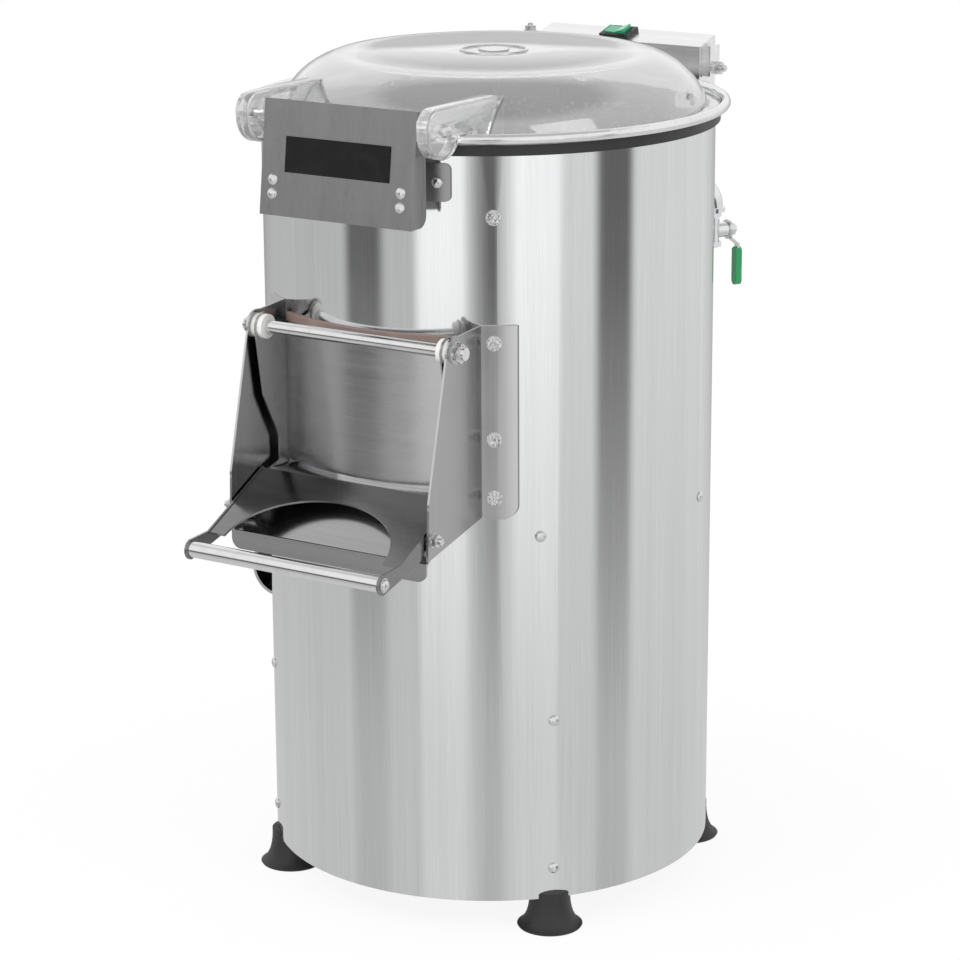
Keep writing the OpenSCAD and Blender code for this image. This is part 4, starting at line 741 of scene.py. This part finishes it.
class PEELER_OT_drive(bpy.types.Operator):
    """Finish the floor, the disc and the drive below it"""
    bl_idname = "peeler.drive"
    bl_label = "Drive"

    def execute(self, context):
        c, s = context.scene.peeler_colours, context.scene.peeler_sizes
        dress(["drum_floor"], brushed("Floor sheet", c.steel, LEVEL, s.brush_pitch, 0.28, s.marks))
        dress(["abrasive_disc"], abrasive("Disc grit", c.grit, s.grit_pitch))
        dress(["disc_nut"], turned_metal("Disc nut", c.polished, 0.14))
        dress(["drive_shaft", "motor_shaft", "shaft_bearings"], turned_metal("Shaft steel", c.zinc, 0.22))
        dress(["bearing_housing", "driven_pulley", "motor_pulley"],
              moulded("Casting", c.cast, 0.55, 0.0022, 0.0002))
        dress(["drive_belt", "shaft_seal"], moulded("Belt rubber", c.rubber, 0.6, 0.0015, 0.00005))
        dress(["drive_motor"], moulded("Motor paint", c.paint, 0.42, 0.0018, 0.00006, 0.2))
        dress(["motor_capacitor"], moulded("Capacitor", c.nylon, 0.45, 0.0015, 0.00002))
        return {"FINISHED"}


class PEELER_OT_fasteners(bpy.types.Operator):
    """Finish the bolts, nuts, screws and pins"""
    bl_idname = "peeler.fasteners"
    bl_label = "Fasteners"

    def execute(self, context):
        dress([
            "foot_bolts", "foot_nuts", "body_screws", "chute_bolts", "rod_nuts", "latch_pins",
            "tube_end_screws", "lever_pivots", "bracket_screws", "lid_hinge_bolts",
            "lid_hinge_spacers", "box_screws", "valve_nut",
        ], turned_metal("Plated fasteners", context.scene.peeler_colours.zinc, 0.08, 0.0026, 0.0005))
        return {"FINISHED"}


class PEELER_OT_stage(bpy.types.Operator):
    """Set up the floor, the studio light and the camera"""
    bl_idname = "peeler.stage"
    bl_label = "Studio"

    def execute(self, context):
        s = context.scene.peeler_sizes
        lay_floor(context, s.floor_radius, s.shadow)
        hang_studio(context.scene)
        softbox(context, "Key softbox", (-1.1, -2.2, 2.3), 1.6, 34)
        softbox(context, "Fill softbox", (2.2, -0.6, 1.9), 1.4, 16)
        stand_camera(context)
        context.scene.view_settings.view_transform = "Standard"
        return {"FINISHED"}


# Studio ------------------------------------------------------------------------------------------

def lay_floor(context, radius, shadow):
    """A pale round floor: plain white to the camera, apart from the shadow."""
    mesh = bpy.data.meshes.new("Studio floor")
    count = 96
    rim = [(radius * math.cos(2 * math.pi * i / count), radius * math.sin(2 * math.pi * i / count), 0)
           for i in range(count)]
    mesh.from_pydata(rim, [], [list(range(count))])
    floor = made_object(context, "Studio floor", mesh)
    material, tree, shader = blank("Floor white")
    feed(tree, shader, Base_Color=(0.90, 0.90, 0.90, 1), Roughness=0.9)
    shader.inputs["Specular IOR Level"].default_value = 0.0
    glow = add(tree, "ShaderNodeEmission", {"Color": (1, 1, 1, 1), "Strength": 1.0})
    path = add(tree, "ShaderNodeLightPath")
    seen = maths(tree, "MAXIMUM", path.outputs["Is Camera Ray"],
                 maths(tree, "MAXIMUM", path.outputs["Is Glossy Ray"], path.outputs["Is Transmission Ray"]))
    place = add(tree, "ShaderNodeTexCoord").outputs["Object"]
    away = add(tree, "ShaderNodeVectorMath", {0: place}, operation="LENGTH").outputs["Value"]
    white = spread(tree, away, radius * 0.6, radius * 0.97, 1 - shadow, 1)
    mix = add(tree, "ShaderNodeMixShader", {
        0: maths(tree, "MULTIPLY", seen, white), 1: shader.outputs[0], 2: glow.outputs[0]})
    end = next(n for n in tree.nodes if n.type == "OUTPUT_MATERIAL")
    tree.links.new(mix.outputs[0], end.inputs["Surface"])
    mesh.materials.append(material)
    floor.visible_glossy = False


def studio_levels():
    """Pairs of angle and grey, from behind the machine past the camera and round to the back."""
    strips = ((LAMP_PLACE, LAMP_WIDTH, LAMP_LEVEL), (FLAG_PLACE, FLAG_WIDTH, FLAG_LEVEL))
    levels = []
    for side, wall in ((-1, LEFT_WALL_LEVEL), (1, RIGHT_WALL_LEVEL)):
        lens = LENS_WIDTH / 2
        levels += [(side * lens, FLAG_LEVEL), (side * (lens + STRIP_EDGE), wall)]
        for place, width, level in strips:
            near, far = place - width / 2, place + width / 2
            levels += [(side * (near - STRIP_EDGE), wall), (side * near, level)]
            levels += [(side * far, level), (side * (far + STRIP_EDGE), wall)]
        levels += [(side * (180 - BACK_EDGE), wall), (side * 180, BACK_LEVEL)]
    return sorted(levels)


def bands(tree, value, levels):
    """Greys by the angle, given in degrees, that the value goes through once."""
    ramp = add(tree, "ShaderNodeValToRGB", {0: value})
    stops = ramp.color_ramp.elements
    while len(stops) > 1:
        stops.remove(stops[-1])
    for i, (angle, level) in enumerate(levels):
        at = (angle + 180) / 360
        stop = stops[0] if i == 0 else stops.new(at)
        stop.position = at
        stop.color = (level, level, level, 1)
    return ramp.outputs[0]


def hang_studio(scene):
    """The world: white to the eye and through glass, pale light on everything, and walls of
    strip lights and dark flags for metal to reflect."""
    world = bpy.data.worlds.new("Studio")
    world.use_nodes = True
    scene.world = world
    tree = world.node_tree
    tree.nodes.clear()
    way = add(tree, "ShaderNodeTexCoord").outputs["Generated"]
    to_camera = (math.sin(CAMERA_TURN), -math.cos(CAMERA_TURN), 0)
    to_right = (math.cos(CAMERA_TURN), math.sin(CAMERA_TURN), 0)
    ahead = add(tree, "ShaderNodeVectorMath", {0: way, 1: to_camera}, operation="DOT_PRODUCT")
    aside = add(tree, "ShaderNodeVectorMath", {0: way, 1: to_right}, operation="DOT_PRODUCT")
    turn = maths(tree, "ARCTAN2", aside.outputs["Value"], ahead.outputs["Value"])
    round_about = spread(tree, turn, -math.pi, math.pi, 0, 1)
    height = add(tree, "ShaderNodeSeparateXYZ", {0: way}).outputs["Z"]
    low = spread(tree, height, -0.35, -0.20, 0.2, 1.0)
    walls = add(tree, "ShaderNodeMix", {0: low}, data_type="RGBA")
    walls.inputs[6].default_value = (SKIRT_LEVEL, SKIRT_LEVEL, SKIRT_LEVEL, 1)
    tree.links.new(bands(tree, round_about, studio_levels()), walls.inputs[7])
    sky = add(tree, "ShaderNodeMix", {0: spread(tree, height, -0.05, 0.12, 0, 1)}, data_type="RGBA")
    tree.links.new(walls.outputs[2], sky.inputs[6])
    sky.inputs[7].default_value = (1, 1, 1, 1)
    ceiling = add(tree, "ShaderNodeMix", {0: spread(tree, height, 0.74, 0.86, 0, 1)}, data_type="RGBA")
    tree.links.new(sky.outputs[2], ceiling.inputs[6])
    ceiling.inputs[7].default_value = (0.58, 0.58, 0.58, 1)
    path = add(tree, "ShaderNodeLightPath")
    glossy = path.outputs["Is Glossy Ray"]
    white = add(tree, "ShaderNodeBackground", {"Color": (1, 1, 1, 1), "Strength": 1.0})
    pale = add(tree, "ShaderNodeBackground", {"Color": (1, 1, 1, 1), "Strength": 0.85})
    metal = add(tree, "ShaderNodeBackground", {"Color": ceiling.outputs[2], "Strength": 1.0})
    seen = maths(tree, "MAXIMUM", path.outputs["Is Camera Ray"], path.outputs["Is Transmission Ray"])
    first = add(tree, "ShaderNodeMixShader", {0: seen, 1: pale.outputs[0], 2: white.outputs[0]})
    second = add(tree, "ShaderNodeMixShader", {0: glossy, 1: first.outputs[0], 2: metal.outputs[0]})
    add(tree, "ShaderNodeOutputWorld", {"Surface": second.outputs[0]})


def softbox(context, name, place, size, power):
    """A large square lamp that faces the machine and isn't seen in metal."""
    lamp = bpy.data.lights.new(name, "AREA")
    lamp.shape = "SQUARE"
    lamp.size = size
    lamp.energy = power
    holder = bpy.data.objects.new(name, lamp)
    holder.location = place
    aim = Vector((0, 0, 0.4)) - Vector(place)
    holder.rotation_euler = aim.to_track_quat("-Z", "Y").to_euler()
    holder.visible_glossy = False
    context.collection.objects.link(holder)


def stand_camera(context):
    """The camera to the right of the front, a little above the lid."""
    lens = bpy.data.cameras.new("Camera")
    lens.sensor_width = CAMERA_SENSOR
    lens.lens = CAMERA_LENS
    lens.clip_start = 0.05
    lens.clip_end = 50
    camera = bpy.data.objects.new("Camera", lens)
    context.collection.objects.link(camera)
    sin_a, cos_a = math.sin(CAMERA_TURN), math.cos(CAMERA_TURN)
    sin_t, cos_t = math.sin(CAMERA_TILT), math.cos(CAMERA_TILT)
    ahead = Vector((-sin_a * cos_t, cos_a * cos_t, -sin_t))
    right = Vector((cos_a, sin_a, 0))
    up = right.cross(ahead)
    turned_right = math.cos(CAMERA_ROLL) * right + math.sin(CAMERA_ROLL) * up
    turned_up = math.cos(CAMERA_ROLL) * up - math.sin(CAMERA_ROLL) * right
    axes = Matrix((turned_right, turned_up, -ahead)).transposed().to_4x4()
    camera.matrix_world = Matrix.Translation(CAMERA_PLACE) @ axes
    context.scene.camera = camera


class PEELER_PT_panel(bpy.types.Panel):
    """Lists the peeler's pieces and settings"""
    bl_idname = "PEELER_PT_panel"
    bl_label = "Potato peeler"
    bl_space_type = "VIEW_3D"
    bl_region_type = "UI"
    bl_category = "Peeler"

    def draw(self, context):
        layout = self.layout
        for operator in OPERATORS:
            layout.operator(operator.bl_idname)
        for settings in (context.scene.peeler_sizes, context.scene.peeler_colours):
            box = layout.box()
            for name in settings.__annotations__:
                box.prop(settings, name)


OPERATORS = (
    PEELER_OT_body, PEELER_OT_feet, PEELER_OT_chute, PEELER_OT_door, PEELER_OT_latch, PEELER_OT_bracket,
    PEELER_OT_lid, PEELER_OT_controls, PEELER_OT_water, PEELER_OT_drain, PEELER_OT_drive,
    PEELER_OT_fasteners, PEELER_OT_stage,
)
CLASSES = (PeelerColours, PeelerSizes, *OPERATORS, PEELER_PT_panel)


def register():
    for made in CLASSES:
        bpy.utils.register_class(made)
    bpy.types.Scene.peeler_colours = PointerProperty(type=PeelerColours)
    bpy.types.Scene.peeler_sizes = PointerProperty(type=PeelerSizes)


def unregister():
    del bpy.types.Scene.peeler_sizes
    del bpy.types.Scene.peeler_colours
    for made in reversed(CLASSES):
        bpy.utils.unregister_class(made)


def main():
    register()
    for operator in OPERATORS:
        group_name, call = operator.bl_idname.split(".")
        getattr(getattr(bpy.ops, group_name), call)()


if __name__ == "__main__":
    main()
